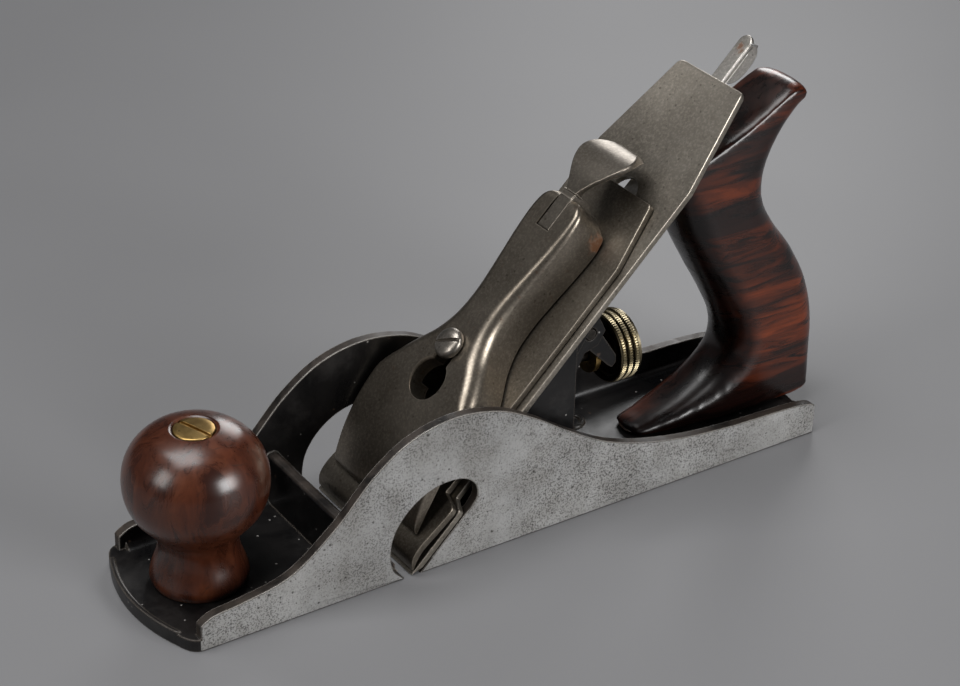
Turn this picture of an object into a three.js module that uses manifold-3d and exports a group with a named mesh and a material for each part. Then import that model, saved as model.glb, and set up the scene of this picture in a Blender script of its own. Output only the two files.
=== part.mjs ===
// A nine-inch carriage maker's rabbet plane with side openings, built as an assembly of separate solids.
// Millimetres. -X is the toe, +X the heel, +Y the plane's right side, +Z up; the sole lies on z = 0.
import * as THREE from 'three';
import { mergeVertices } from 'three/addons/utils/BufferGeometryUtils.js';
import Module from 'manifold-3d';

const wasm = await Module();
wasm.setup();

// ---- driving dimensions ----
const GAP = 0.3;                 // clearance between touching pieces
const HALF_LENGTH = 116;         // sole, toe to heel, along the centre line
const HALF_WIDTH = 27;           // sole and cutter, 2-1/8 in across
// Each end: where the straight side stops, its corner, where the end curve starts, and its radius.
const TOE = { side: -1, stop: 106.6, turn: 110.2, curveY: 21.0, radius: 55 };
const HEEL = { side: 1, stop: 111.4, turn: 113.6, curveY: 23.5, radius: 90 };
const SOLE_T = 4;                // thickness of the bottom plate
const WALL_T = 3.2;              // thickness of a cheek
const INNER_Y = HALF_WIDTH - WALL_T;

const BED_ANGLE = Math.PI / 4;   // pitch of the iron
const EDGE_X = -39.3;            // where the iron's front face meets the sole
const IRON_T = 2.0;
const CAP_IRON_H = IRON_T + GAP; // top of the cap iron above the iron's face
const BED_H = -IRON_T - GAP;     // the frog's bed below the iron's face
const CUTTER_HALF = 22.3;        // narrow part of the iron, between the cheeks
const WING_HALF = 26.8;          // wide part of the iron, in the side openings
const WING_S = 24.5;             // length of the wide part, measured up the bed

const KNOB_X = -93.6;
const ROD_R = 2.5;
const NUT_HEAD_R = 6;
const NUT_SHANK_R = 4.1;

const TOTE_HALF = 11.5;          // half the handle's thickness
const TOTE_ROD_FOOT = [106, 1.9];
const TOTE_ROD_HEAD = [77.4, 100.2];

const CAP_SCREW_S = 60.6;        // lever cap screw, up the bed
const CAP_FACE_H = 17.5;         // face of the lever cap above the iron
const KEYHOLE_S = 48.5;
const KEYHOLE_R = 6.7;
const CAM_PIN = [110, 12];       // (s, h) of the pin that the cam turns on
const CAM_R = 7.8;

const IRON_SCREW_S = 74;         // cap iron screw
const YOKE_S = 88;               // yoke nose and yoke pin, up the bed
const YOKE_PIN_H = -13;
const DISC_S = 101;              // disc of the lateral lever, in the iron's slot
const RIVET_S = 109;             // rivet that the lateral lever turns on
const SLOT_HALF = 5.5;           // half the width of the iron's slot

const STUD_Z = 37.8;             // height of the depth screw
const GROOVE_X = 43.7;           // middle of the groove that the yoke's fork sits in
const WHEEL_X = [46.1, 53.7];
const WHEEL_R = 11.3;
const HUB_R = 4;

// ---- materials ----
const finish = (color, roughness, metalness) =>
  new THREE.MeshStandardMaterial({ color, roughness, metalness });
const japan = () => finish(0x17171a, 0.35, 0.3);
const castIron = () => finish(0x8b8b89, 0.5, 0.8);
const steel = () => finish(0x7d776e, 0.38, 0.9);
const brass = () => finish(0xb08a3c, 0.35, 0.9);
const rosewood = () => finish(0x4a1a0e, 0.3, 0.0);

// ---- solids ----
function solidOf(geometry) {
  const plain = geometry.index ? geometry.toNonIndexed() : geometry.clone();
  plain.deleteAttribute('normal');
  plain.deleteAttribute('uv');
  const merged = mergeVertices(plain, 1e-4);
  return new wasm.Manifold(new wasm.Mesh({
    numProp: 3,
    vertProperties: new Float32Array(merged.attributes.position.array),
    triVerts: new Uint32Array(merged.index.array),
  }));
}

function geometryOf(solid) {
  const mesh = solid.getMesh();
  const geometry = new THREE.BufferGeometry();
  geometry.setAttribute('position', new THREE.BufferAttribute(mesh.vertProperties, 3));
  geometry.setIndex(new THREE.BufferAttribute(mesh.triVerts, 1));
  geometry.computeVertexNormals();
  return geometry;
}

const join = (first, ...rest) => rest.reduce((sum, next) => sum.add(next), first);
const cut = (first, ...rest) => rest.reduce((left, next) => left.subtract(next), first);
const outline = (points) => new THREE.Shape(points.map(([a, b]) => new THREE.Vector2(a, b)));
const smooth = (points, steps, closed = false) => {
  const curve = new THREE.CatmullRomCurve3(points.map(([a, b]) => new THREE.Vector3(a, b, 0)), closed);
  return curve.getPoints(steps).map((p) => [p.x, p.y]).slice(0, closed ? -1 : undefined);
};
const mirrored = (points) => [...points, ...points.map(([a, b]) => [a, -b]).reverse()];

// A flat outline in (x, y), given thickness from z0 to z1.
const plate = (points, z0, z1) =>
  solidOf(new THREE.ExtrudeGeometry(outline(points), { depth: z1 - z0,
    bevelEnabled: false }).translate(0, 0, z0));

// A side outline in (x, z), given width from y0 to y1.
const slab = (points, y0, y1) =>
  solidOf(new THREE.ExtrudeGeometry(outline(points), { depth: y1 - y0, bevelEnabled: false })
    .rotateX(Math.PI / 2).translate(0, y1, 0));

const box = (x0, x1, y0, y1, z0, z1) =>
  solidOf(new THREE.BoxGeometry(x1 - x0, y1 - y0, z1 - z0)
    .translate((x0 + x1) / 2, (y0 + y1) / 2, (z0 + z1) / 2));

// Round bars. Each direction's function turns a THREE cylinder, which stands along Y, onto that axis.
const barY = (r, x, z, y0, y1, sides = 24) =>
  solidOf(new THREE.CylinderGeometry(r, r, y1 - y0, sides).translate(x, (y0 + y1) / 2, z));
const barZ = (r, x, y, z0, z1, sides = 24) =>
  solidOf(new THREE.CylinderGeometry(r, r, z1 - z0, sides).rotateX(Math.PI / 2).translate(x, y,
    (z0 + z1) / 2));
const barX = (r, y, z, x0, x1, sides = 24) =>
  solidOf(new THREE.CylinderGeometry(r, r, x1 - x0, sides).rotateZ(-Math.PI / 2).translate((x0 + x1) / 2,
    y, z));

// A turned solid about +Z from a list of (radius, height) points that starts and ends on the axis.
const turned = (points, sides) =>
  solidOf(new THREE.LatheGeometry(points.map(([r, z]) => new THREE.Vector2(r, z)),
    sides).rotateX(Math.PI / 2));

// ---- the assembly and its two frames ----
const plane = new THREE.Group();
const bed = new THREE.Group();          // local x runs up the bed, local z stands off the iron's face
bed.position.set(EDGE_X, 0, 0);
bed.rotation.y = -BED_ANGLE;
plane.add(bed);
bed.updateMatrix();
const onBed = (solid) => solid.transform([...bed.matrix.elements]);

function part(name, solid, material, parent = plane) {
  const mesh = new THREE.Mesh(geometryOf(solid), material);
  mesh.name = name;
  parent.add(mesh);
  return mesh;
}

// ---- sole casting ----
const CHEEK_TOP = [
  [-107.3, 8.3], [-104, 10.3], [-94, 11.6], [-79, 14.8], [-64.3, 25.5], [-51.3, 38.8], [-39.3, 46.6],
  [-24.5, 49.6], [-9.3, 46.9], [2.7, 40.7], [15.7, 32], [28.7, 24.3], [40.7, 19.7], [58, 15.6],
  [77, 13.5], [105, 12.1], [111, 10.9], [114, 8.4],
];
const OPENING = [
  [-41.4, -1], [-41.4, 0.3], [-42.6, 1.6], [-44.4, 3.4], [-45.7, 6.4], [-46, 10.5], [-44.8, 16.2],
    [-41.2, 21.8], [-35.7, 26.1], [-30, 28.2],
  [-24.6, 28.4], [-20.2, 27.2], [-17.2, 24.2], [-16.6, 20.4], [-18.6, 17],
];
const SEAT_TOP = 6;                      // raised pad that the frog stands on
const RAMP_TOP = 7.2;                    // short ramp behind the mouth that carries on the bed
const RIB = [[-58.3, 1], [-58.3, 21], [-54.8, 21], [-43.6, 5], [-42.2, 1]];
const bedX = (z, h) => EDGE_X + z - h * Math.SQRT2;   // x of the bed plane's offset h at height z

function endCurve({ side, curveY, radius }) {
  const points = [];
  for (let i = 0; i <= 14; i += 1) {
    const y = -curveY + (2 * curveY * i) / 14;
    const x = HALF_LENGTH - radius + Math.sqrt(radius ** 2 - y ** 2);
    points.push([side * x, side * y]);
  }
  return points;
}

function solePlan() {
  const plan = new THREE.Shape();
  plan.moveTo(TOE.side * TOE.stop, -HALF_WIDTH);
  for (const end of [HEEL, TOE]) {
    const [stop, turn, edge] = [end.side * end.stop, end.side * end.turn, end.side * HALF_WIDTH];
    const curve = endCurve(end);
    plan.lineTo(stop, -edge);
    plan.quadraticCurveTo(turn, -edge, curve[0][0], curve[0][1]);
    curve.slice(1).forEach(([x, y]) => plan.lineTo(x, y));
    plan.quadraticCurveTo(turn, edge, stop, edge);
  }
  return plan.getPoints(5).map((p) => [p.x, p.y]);
}

function soleCasting() {
  const plan = solePlan();
  const cheek = [[-TOE.stop, 0], ...smooth(CHEEK_TOP, 64), [114.6, 3], [114.6, 0]];
  const ramp = [[bedX(0, BED_H), 0], [bedX(RAMP_TOP, BED_H), RAMP_TOP], [-22, RAMP_TOP], [-20, SEAT_TOP],
    [22.5, SEAT_TOP], [24.5, 1], [-20, 0]];
  const casting = join(
    plate(plan, 0, SOLE_T),
    slab(cheek, -HALF_WIDTH, -INNER_Y),
    slab(cheek, INNER_Y, HALF_WIDTH),
    slab(RIB, -INNER_Y - 1, INNER_Y + 1),
    slab(ramp, -INNER_Y - 1, INNER_Y + 1),
  );
  const mouth = [[-41.4, -1], [-41.4, 0.3], [-42.4, 1.6], [-43, 8], [bedX(8, BED_H), 8], [bedX(-1,
    BED_H), -1]];
  const side = [[bedX(-1, BED_H), -1], ...OPENING, [bedX(15, BED_H), 15]];
  return cut(
    casting.intersect(plate(plan, -1, 60)),
    slab(mouth, -HALF_WIDTH - 1, HALF_WIDTH + 1),
    slab(side, -HALF_WIDTH - 1, -INNER_Y + 0.02),
    slab(side, INNER_Y - 0.02, HALF_WIDTH + 1),
    barZ(ROD_R + GAP, KNOB_X, 0, 1.5, 9),
    toteBar(ROD_R + GAP, -0.6, 12),
    ...frogScrewPlaces().map(([x, y]) => barZ(ROD_R + GAP, x, y, 1.4, 9, 16)),
  );
}

// ---- front knob, its rod and its nut ----
const KNOB_PROFILE = [
  [0, 4.3], [13.6, 4.3], [14.35, 6.4], [13.5, 10], [12.1, 14], [11.7, 17.5], [12.6, 21], [15.2, 24.2],
  [18.6, 28.4], [20.4, 33], [20.9, 38], [20.1, 43.2], [17.6, 48], [13.6, 51.8], [9, 53.7], [6.3, 54.1],
    [0, 54.1],
];
const KNOB_TOP = 54.1;

function slottedNut() {
  const nut = join(barZ(NUT_HEAD_R, 0, 0, -1.4, 0.2, 32), barZ(NUT_SHANK_R, 0, 0, -12, -1.3));
  return cut(nut, barZ(ROD_R + GAP, 0, 0, -13, -2.6), box(-7, 7, -0.7, 0.7, -0.8, 1));
}

function frontKnob() {
  return cut(
    turned(KNOB_PROFILE, 40),
    barZ(ROD_R + GAP, 0, 0, 0, 50),
    barZ(NUT_SHANK_R + GAP, 0, 0, KNOB_TOP - 12.4, KNOB_TOP + 1),
    barZ(NUT_HEAD_R + GAP, 0, 0, KNOB_TOP - 1.7, KNOB_TOP + 1, 32),
  ).translate([KNOB_X, 0, 0]);
}

// ---- rear handle, its rod and its nut ----
const TOTE_BACK = [
  [122.4, 4.3], [125.3, 9], [126.5, 20], [125.8, 33], [122, 46], [115.2, 58], [106.4, 69.5], [101.2, 79.5],
  [100.8, 88.5], [104.8, 98], [111.2, 105.4], [115.6, 110.4], [115, 114.4], [110.6, 116], [103, 112.4],
  [90, 106], [76, 100.4], [67, 97.4], [62.6, 94], [62.6, 89.6], [66.6, 80.6], [71.6, 69], [78.6, 56.6],
  [86.4, 43.4], [91.2, 33], [91.6, 25.4], [87, 19.4], [78, 14], [66, 9.6], [57.4, 7.2], [56, 5.4],
];

const toteAxis = new THREE.Vector3(
  TOTE_ROD_HEAD[0] - TOTE_ROD_FOOT[0], 0, TOTE_ROD_HEAD[1] - TOTE_ROD_FOOT[1]);
const TOTE_ROD_LENGTH = toteAxis.length();
const toteTurn = new THREE.Quaternion().setFromUnitVectors(new THREE.Vector3(0, 0, 1),
  toteAxis.clone().normalize());
const toteMatrix = new THREE.Matrix4().compose(
  new THREE.Vector3(TOTE_ROD_FOOT[0], 0, TOTE_ROD_FOOT[1]), toteTurn, new THREE.Vector3(1, 1, 1));
function toteBar(r, from, to, sides = 24) {
  return barZ(r, 0, 0, from, to, sides).transform([...toteMatrix.elements]);
}

function tote() {
  const shape = outline([[56.4, 4.3], ...smooth([...TOTE_BACK].reverse(), 84)]);
  const blank = solidOf(new THREE.ExtrudeGeometry(shape, { depth: 2 * TOTE_HALF, bevelEnabled: false })
    .rotateX(Math.PI / 2).translate(0, TOTE_HALF, 0));
  return cut(
    blank.intersect(box(50, 130, -20, 20, SOLE_T + GAP, 130)),
    toteBar(ROD_R + GAP, -1, TOTE_ROD_LENGTH),
    toteBar(NUT_SHANK_R + GAP, TOTE_ROD_LENGTH - 12.4, TOTE_ROD_LENGTH + 2),
    toteBar(NUT_HEAD_R + GAP, TOTE_ROD_LENGTH - 1.7, TOTE_ROD_LENGTH + 12, 32),
  );
}

// ---- frog: the iron's bed, with ears for the yoke and a wall for the depth screw ----
const FROG_HALF = 20.5;
const FROG_REAR = 22;
const FROG_FOOT = SEAT_TOP + GAP;
const WASHER_T = 1.2;
const WASHER_R = 5.6;
function frogScrewPlaces() {
  return [[6, -10], [6, 10]];
}
const bedPoint = (s, h) => [
  EDGE_X + (s - h) * Math.SQRT1_2,
  (s + h) * Math.SQRT1_2,
];

function frog() {
  const half = mirrored([[19, -FROG_HALF], [76, -FROG_HALF], [96, -16], [112, -13.5], [115.5, -10]]);
  const table = onBed(plate(half, BED_H - 5, BED_H));
  const web = [[-17, FROG_FOOT], bedPoint(17.5, BED_H - 1), bedPoint(84, BED_H - 1), [FROG_REAR, FROG_FOOT]]
    .map(([x, z]) => [Math.min(x, FROG_REAR), z]);
  const foot = [[-17, FROG_FOOT], [-17, FROG_FOOT + 3], [-14, 10.5], [FROG_REAR, 10.5], [FROG_REAR,
    FROG_FOOT]];
  const wall = [[FROG_REAR - 5, 8], [FROG_REAR - 5, 48], [FROG_REAR, 48], [FROG_REAR, 8]];
  const ear = [[17, 30], bedPoint(72, BED_H - 2), bedPoint(96, BED_H - 2), [37.6, 53], [35, 48.5], [30,
    47], [22, 30]];
  const boss = onBed(barZ(5.6, CAP_SCREW_S, 0, BED_H - 12, BED_H - 1));
  const body = join(
    table,
    slab(web, -FROG_HALF, -FROG_HALF + 4), slab(web, FROG_HALF - 4, FROG_HALF),
    slab(foot, -FROG_HALF, FROG_HALF),
    slab(wall, -FROG_HALF, FROG_HALF),
    slab(ear, -13.2, -9.6), slab(ear, 9.6, 13.2),
    boss,
  );
  const trimmed = cut(body, box(FROG_REAR + 0.01, 60, -30, -13.3, 0, 52), box(FROG_REAR + 0.01, 60, 13.3,
    30, 0, 52));
  const [pinX, pinZ] = bedPoint(YOKE_S, YOKE_PIN_H);
  return cut(
    trimmed,
    onBed(box(IRON_SCREW_S - 8.6, IRON_SCREW_S + 9.4, -8.8, 8.8, BED_H - 8, 0)),
    onBed(box(YOKE_S - 8, YOKE_S + 5.2, -3.2, 3.2, BED_H - 8, 0)),
    onBed(plate([[93.4, -10], [93.4, 10], [105, 12], [120, 12], [120, -12], [105, -12]], BED_H - 2.4, 1)),
    onBed(barZ(2.6 + GAP, CAP_SCREW_S, 0, BED_H - 10.5, 1)),
    onBed(barZ(2.2 + GAP, RIVET_S, 0, BED_H - 4.4, 1)),
    barX(2.4 + GAP, 0, STUD_Z, FROG_REAR - 4, FROG_REAR + 1),
    barY(1.7 + GAP, pinX, pinZ, -14, 14),
    ...frogScrewPlaces().map(([x, y]) => slab(slotOutline(x, FROG_FOOT - 1, ROD_R + GAP, 1.6), y - 2.8,
      y + 2.8)),
  );
}

// The frog's hold-down slots, wider along x than the screws so that the frog can be moved.
function slotOutline(x, z, half, travel) {
  return [[x - half - GAP, z], [x + half + travel, z], [x + half + travel, z + 6], [x - half - GAP, z + 6]];
}

function frogScrew([x, y]) {
  const head = barZ(4.4, x, y, 10.5 + WASHER_T + 2 * GAP, 14.6);
  const shank = barZ(ROD_R, x, y, 1.8, 12.5);
  return cut(join(head, shank), box(x - 6, x + 6, y - 0.6, y + 0.6, 13.4, 16));
}

const frogWasher = ([x, y]) =>
  cut(barZ(WASHER_R, x, y, 10.5 + GAP, 10.5 + GAP + WASHER_T), barZ(ROD_R + GAP, x, y, 10, 13));

// ---- depth adjustment ----
const depthStud = () => barX(2.4, 0, STUD_Z, FROG_REAR - 3.6, WHEEL_X[1] + 3.3);

function depthHub() {
  const hub = join(
    barX(6.3, 0, STUD_Z, GROOVE_X - 3.9, GROOVE_X - 2),
    barX(HUB_R, 0, STUD_Z, GROOVE_X - 3, WHEEL_X[1] + 0.6),
  );
  return cut(hub, barX(2.4 + GAP, 0, STUD_Z, GROOVE_X - 6, WHEEL_X[1] + 3));
}

function depthWheel() {
  const [front, back] = WHEEL_X;
  const valley = WHEEL_R - 0.9;
  const rim = WHEEL_R - 2.2;
  const pitch = (back - front - 0.4) / 3;
  const ridges = [];
  for (let i = 0; i < 3; i += 1) {
    const start = front + 0.2 + i * pitch;
    ridges.push([WHEEL_R, start + 0.2], [WHEEL_R, start + pitch - 0.8]);
    if (i < 2) ridges.push([valley, start + pitch - 0.5], [valley, start + pitch - 0.1]);
  }
  const profile = [[0, front], [WHEEL_R - 0.4, front], ...ridges, [WHEEL_R - 0.4, back], [0, back]];
  const wheel = turned(profile, 48).rotate([0, 90, 0]).translate([0, 0, STUD_Z]);
  return cut(
    wheel,
    barX(HUB_R + GAP, 0, STUD_Z, front - 4, back + 4),
    cut(barX(rim, 0, STUD_Z, back - 2.6, back + 1, 40), barX(6, 0, STUD_Z, back - 4, back + 2)),
    cut(barX(rim, 0, STUD_Z, front - 1, front + 1.4, 40), barX(6.2, 0, STUD_Z, front - 2, front + 2)),
  );
}

function yoke() {
  const [pinX, pinZ] = bedPoint(YOKE_S, YOKE_PIN_H);
  const arm = [[pinX - 2.4, pinZ - 3.2], [GROOVE_X - 1.5, STUD_Z - 0.6], [GROOVE_X, STUD_Z - 1.6],
    [GROOVE_X + 1.4, STUD_Z], [GROOVE_X + 1.3, STUD_Z + 2.4], [pinX + 3.2, pinZ + 2.2], [pinX, pinZ + 3.8]];
  const nose = [[YOKE_S - 3.2, YOKE_PIN_H], [YOKE_S - 1.7, -3], [YOKE_S - 1.7, 1.2], [YOKE_S - 1, 1.8],
    [YOKE_S + 1, 1.8], [YOKE_S + 1.7, 1.2], [YOKE_S + 1.7, -3], [YOKE_S + 3.2, YOKE_PIN_H]];
  const lug = (y0, y1) => barY(1.3, GROOVE_X, STUD_Z, y0, y1, 16);
  return cut(
    join(
      barY(3.9, pinX, pinZ, -9.2, 9.2),
      slab(arm, -9.2, -7.2), slab(arm, 7.2, 9.2),
      lug(-7.4, -4.8), lug(4.8, 7.4),
      onBed(slab(nose, -2.4, 2.4)),
    ),
    barY(1.7 + GAP, pinX, pinZ, -10, 10),
  );
}

function yokePin() {
  const [pinX, pinZ] = bedPoint(YOKE_S, YOKE_PIN_H);
  return barY(1.7, pinX, pinZ, -13.2, 13.2, 20);
}

// ---- cutting iron, cap iron and the screw that joins them; (s, y, h) on the bed ----
const slotPlan = (from, to, half) => {
  const points = [];
  for (let i = 0; i <= 10; i += 1) {
    const a = -Math.PI / 2 + (Math.PI * i) / 10;
    points.push([to - half + half * Math.cos(a), half * Math.sin(a)]);
  }
  for (let i = 0; i <= 10; i += 1) {
    const a = Math.PI / 2 + (Math.PI * i) / 10;
    points.push([from + half + half * Math.cos(a), half * Math.sin(a)]);
  }
  return points;
};

function cuttingIron() {
  const half = [[-1, -WING_HALF], [WING_S - 1.5, -WING_HALF], [WING_S, -WING_HALF + 1.5], [WING_S + 1.6,
    -CUTTER_HALF],
    [137.6, -CUTTER_HALF], [167.4, -15.6], [170, -13.8]];
  const section = [[0.35, 0], [172, 0], [172, -IRON_T], [4.2, -IRON_T]];
  return cut(
    plate(mirrored(half), -5, 5).intersect(slab(section, -40, 40)),
    plate(slotPlan(42, 132.6, SLOT_HALF), -6, 6),
  );
}

function capIron() {
  const half = [[-1, -WING_HALF], [WING_S - 2, -WING_HALF], [WING_S - 0.6, -WING_HALF + 1.4],
    [WING_S + 1, -20],
    [107, -20], [127, -15.6], [128.4, -14.6]];
  const top = [[1.7, 0.9], [4, 3.2], [8, 4.1], [14, 3.6], [24, 2.7], [34, CAP_IRON_H], [129, CAP_IRON_H]];
  const under = [[129, GAP], [34, GAP], [24, 0.6], [14, 1.5], [8, 2], [4.4, 1.3], [1.9, GAP]];
  return cut(
    plate(mirrored(half), -5, 8).intersect(slab([...top, ...under].reverse(), -40, 40)),
    plate(slotPlan(52, 67, 5), -6, 9),
    barZ(3.6 + GAP, IRON_SCREW_S, 0, -1, 4),
    box(YOKE_S - 2.4, YOKE_S + 2.4, -3.4, 3.4, -1, 4),
  );
}

function capIronScrew() {
  const head = barZ(6.8, IRON_SCREW_S, 0, -IRON_T - GAP - 2.6, -IRON_T - GAP, 32);
  const shank = barZ(3.6, IRON_SCREW_S, 0, -IRON_T - GAP - 1, 2);
  const slot = box(IRON_SCREW_S - 8, IRON_SCREW_S + 8, -0.7, 0.7, -IRON_T - GAP - 3, -IRON_T - GAP - 1.4);
  return cut(join(head, shank), slot);
}

// ---- lateral adjustment ----
const LEVER_TOP = BED_H - GAP;
const LEVER_T = 1.7;

function lateralLever() {
  const edge = [[DISC_S - 6.2, -1.4], [DISC_S - 4.4, -4.4], [DISC_S, -6.2], [RIVET_S + 1, -6.2],
    [RIVET_S + 6, -4.6],
    [RIVET_S + 14, -3.4], [169, -2.65], [186.2, -2.65], [187.6, -1]];
  return cut(
    plate(mirrored(edge), LEVER_TOP - LEVER_T, LEVER_TOP),
    box(171, 190, -3, -1.1, -6, 0),
    barZ(2.2 + GAP, RIVET_S, 0, -9, 0),
    barZ(1.6 + GAP, DISC_S, 0, -9, 0),
  );
}

const lateralRivet = () => barZ(2.2, RIVET_S, 0, BED_H - 4.1, LEVER_TOP + 0.1);
const lateralDisc = () => join(
  barZ(5.1, DISC_S, 0, LEVER_TOP + GAP, -0.2, 32),
  barZ(1.6, DISC_S, 0, LEVER_TOP - LEVER_T + 0.2, LEVER_TOP + 0.5, 16),
);

// The thumb tab: a second strip, folded down at right angles and fixed along the lever's left edge.
function thumbTab() {
  const edge = [[171.6, LEVER_TOP], [186, LEVER_TOP], [186.4, -5], [185.2, -7.2], [183, -8.4], [175,
    -8.4], [171.6, -5]];
  return slab(edge, -2.65, -1.4);
}

// ---- lever cap, its spring, its cam ----
function capHalfWidth() {
  const waist = smooth([[50.5, -19.6], [56, -16.4], [63, -11.8], [70, -9], [78, -8.1], [88, -8.7], [100,
    -9.9],
    [108, -10.1], [112.6, -9.2], [115.6, -5.6]], 30);
  return [[10.8, -22.8], [36, -22.8], [44, -22.2], ...waist];
}

function leverCap() {
  const top = smooth([[11.2, 5.8], [19.7, 11], [28.6, 14.2], [38.2, 16.2], [48, 17.3], [56, CAP_FACE_H]],
    14);
  const side = [[10.8, 4.6], ...top, [113.6, CAP_FACE_H], [116.2, 15.6], [112, 3.6], [108, 3.1], [52, 3.1],
    [49, 7.4], [38, 10.6], [28, 9.4], [18, 6.6]];
  const rim = 3;
  const hollow = capHalfWidth().filter(([s]) => s > 50 && s < 108).map(([s, y]) => [s, Math.min(y + rim,
    0)]);
  const blank = plate(mirrored(capHalfWidth()), 0, 25).intersect(slab([...side].reverse(), -40, 40));
  const [pinS, pinH] = CAM_PIN;
  return cut(
    join(
      cut(blank, plate(mirrored([[46, -14], ...hollow, [103, -6.8]]), -2, 12)),
      barZ(3, 88, 0, 4, 13),
    ),
    barZ(KEYHOLE_R, KEYHOLE_S, 0, 0, 30, 32),
    plate(slotPlan(KEYHOLE_S, CAP_SCREW_S + 3.6, 3.4), 0, 30),
    barY(CAM_R + 0.4, pinS, pinH, -3.2, 3.2, 32),
    box(pinS, 120, -3.2, 3.2, 0, 30),
    box(100, 120, -5, 5, 2, 4.1),
    barY(1.5 + GAP, pinS, pinH, -8, 20),
    barZ(1.3 + GAP, 88, 0, 0, 11),
  );
}

function leverCapScrew() {
  const dome = turned([[0, 17.9], [4.8, 17.9], [4.8, 19.2], [4.1, 20.3], [2.4, 20.9], [0, 21]], 28);
  const head = dome.translate([CAP_SCREW_S, 0, 0]);
  const shank = barZ(2.6, CAP_SCREW_S, 0, BED_H - 10, 18.5, 20);
  return cut(join(head, shank), box(CAP_SCREW_S - 0.7, CAP_SCREW_S + 0.7, -7, 7, 19.5, 22));
}

const capSpring = () => cut(
  plate([[84, -4.6], [106, -4.6], [112, -3], [112, 3], [106, 4.6], [84, 4.6]], 2.9, 3.7),
  barZ(1.3 + GAP, 88, 0, 2, 5, 16),
);
const springRivet = () => barZ(1.3, 88, 0, 2.8, 10.5, 16);
const camPin = () => barY(1.5, CAM_PIN[0], CAM_PIN[1], -7.7, 7.7, 20);

function camLever() {
  const [pinS, pinH] = CAM_PIN;
  const flat = CAP_FACE_H - 0.2;
  const tang = cut(
    join(barY(CAM_R, pinS, pinH, -2.8, 2.8, 32), box(pinS, 117.4, -2.8, 2.8, pinH, flat)),
    box(90, 130, -4, 4, flat, 30),
  );
  const top = smooth([[115.6, 16.9], [120, 17], [126, 16.5], [132, 14.8], [137, 12], [140.4, 8.8]], 16);
  const under = smooth([[139, 8], [136, 10.4], [131, 12.8], [126, 14.2], [121, 14.6], [116.4, 13.4]], 12);
  const leafSide = slab([...top, ...under].reverse(), -20, 20);
  const leafPlan = smooth([[115, -2.8], [118, -3.2], [122, -5], [128, -8.8], [134, -11.4], [138.4, -11],
    [140.6, -7.6],
    [141.2, 0]], 22);
  return cut(
    join(tang, plate(mirrored(leafPlan), 4, 24).intersect(leafSide)),
    barY(1.5 + GAP, pinS, pinH, -5, 5),
  );
}

// ---- named pieces ----
part('sole_casting', soleCasting(), castIron());
part('front_knob', frontKnob(), rosewood());
part('knob_rod', barZ(ROD_R, KNOB_X, 0, 1.8, KNOB_TOP - 3), steel());
part('knob_nut', slottedNut().translate([KNOB_X, 0, KNOB_TOP]), brass());
part('tote', tote(), rosewood());
part('tote_rod', toteBar(ROD_R, 0, TOTE_ROD_LENGTH - 3), steel());
part('tote_nut', slottedNut().translate([0, 0, TOTE_ROD_LENGTH]).transform([...toteMatrix.elements]),
  brass());

part('frog', frog(), japan());
frogScrewPlaces().forEach((place, i) => {
  const side = i === 0 ? 'left' : 'right';
  part(`frog_screw_${side}`, frogScrew(place), steel());
  part(`frog_washer_${side}`, frogWasher(place), steel());
});
part('depth_stud', depthStud(), steel());
part('depth_hub', depthHub(), brass());
part('depth_wheel', depthWheel(), brass());
part('yoke', yoke(), japan());
part('yoke_pin', yokePin(), steel());

part('cutting_iron', cuttingIron(), steel(), bed);
part('cap_iron', capIron(), steel(), bed);
part('cap_iron_screw', capIronScrew(), steel(), bed);
part('lateral_lever', lateralLever(), steel(), bed);
part('lateral_rivet', lateralRivet(), steel(), bed);
part('lateral_disc', lateralDisc(), steel(), bed);
part('thumb_tab', thumbTab(), steel(), bed);
part('lever_cap_screw', leverCapScrew(), steel(), bed);
part('lever_cap', leverCap(), steel(), bed);
part('cap_spring', capSpring(), steel(), bed);
part('spring_rivet', springRivet(), steel(), bed);
part('cam_pin', camPin(), steel(), bed);
part('cam_lever', camLever(), steel(), bed);

export default plane;
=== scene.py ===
# %% [markdown]
# # A carriage maker's rabbet plane
# This lesson dresses a working model of a nine-inch iron plane: a grey iron sole casting with tall ground
# cheeks and a japanned inside, a rosewood knob and tote, and a bright set of blade steel parts.
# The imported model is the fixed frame. It says where everything is and how it moves, so every
# piece made here takes its place from it.

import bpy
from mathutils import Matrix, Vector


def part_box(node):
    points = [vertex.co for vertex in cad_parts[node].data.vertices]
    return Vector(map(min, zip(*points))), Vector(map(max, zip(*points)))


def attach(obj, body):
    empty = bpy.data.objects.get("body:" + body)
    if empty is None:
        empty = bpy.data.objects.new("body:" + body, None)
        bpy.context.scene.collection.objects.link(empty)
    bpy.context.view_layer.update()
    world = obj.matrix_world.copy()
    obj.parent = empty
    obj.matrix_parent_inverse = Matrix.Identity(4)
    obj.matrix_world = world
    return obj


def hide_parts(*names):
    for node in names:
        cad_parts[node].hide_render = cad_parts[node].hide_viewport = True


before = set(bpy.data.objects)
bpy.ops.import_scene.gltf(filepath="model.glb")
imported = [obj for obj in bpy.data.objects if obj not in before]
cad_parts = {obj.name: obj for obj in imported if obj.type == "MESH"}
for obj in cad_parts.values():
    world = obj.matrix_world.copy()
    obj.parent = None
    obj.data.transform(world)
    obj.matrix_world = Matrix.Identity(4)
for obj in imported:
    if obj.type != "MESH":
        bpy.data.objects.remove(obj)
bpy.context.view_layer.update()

# %% [markdown]
# Two sets of directions are enough for the whole plane. The sole lies flat, so its pieces are drawn in
# plan or from the side. The iron leans at 45 degrees, so its pieces are drawn on the bed: `s` runs up
# the slope from the cutting edge, and `h` stands off the face of the iron. Drawing on the bed keeps
# every number as a maker would measure it on the flat part.

# %% Directions, all in millimetres
import math

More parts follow.
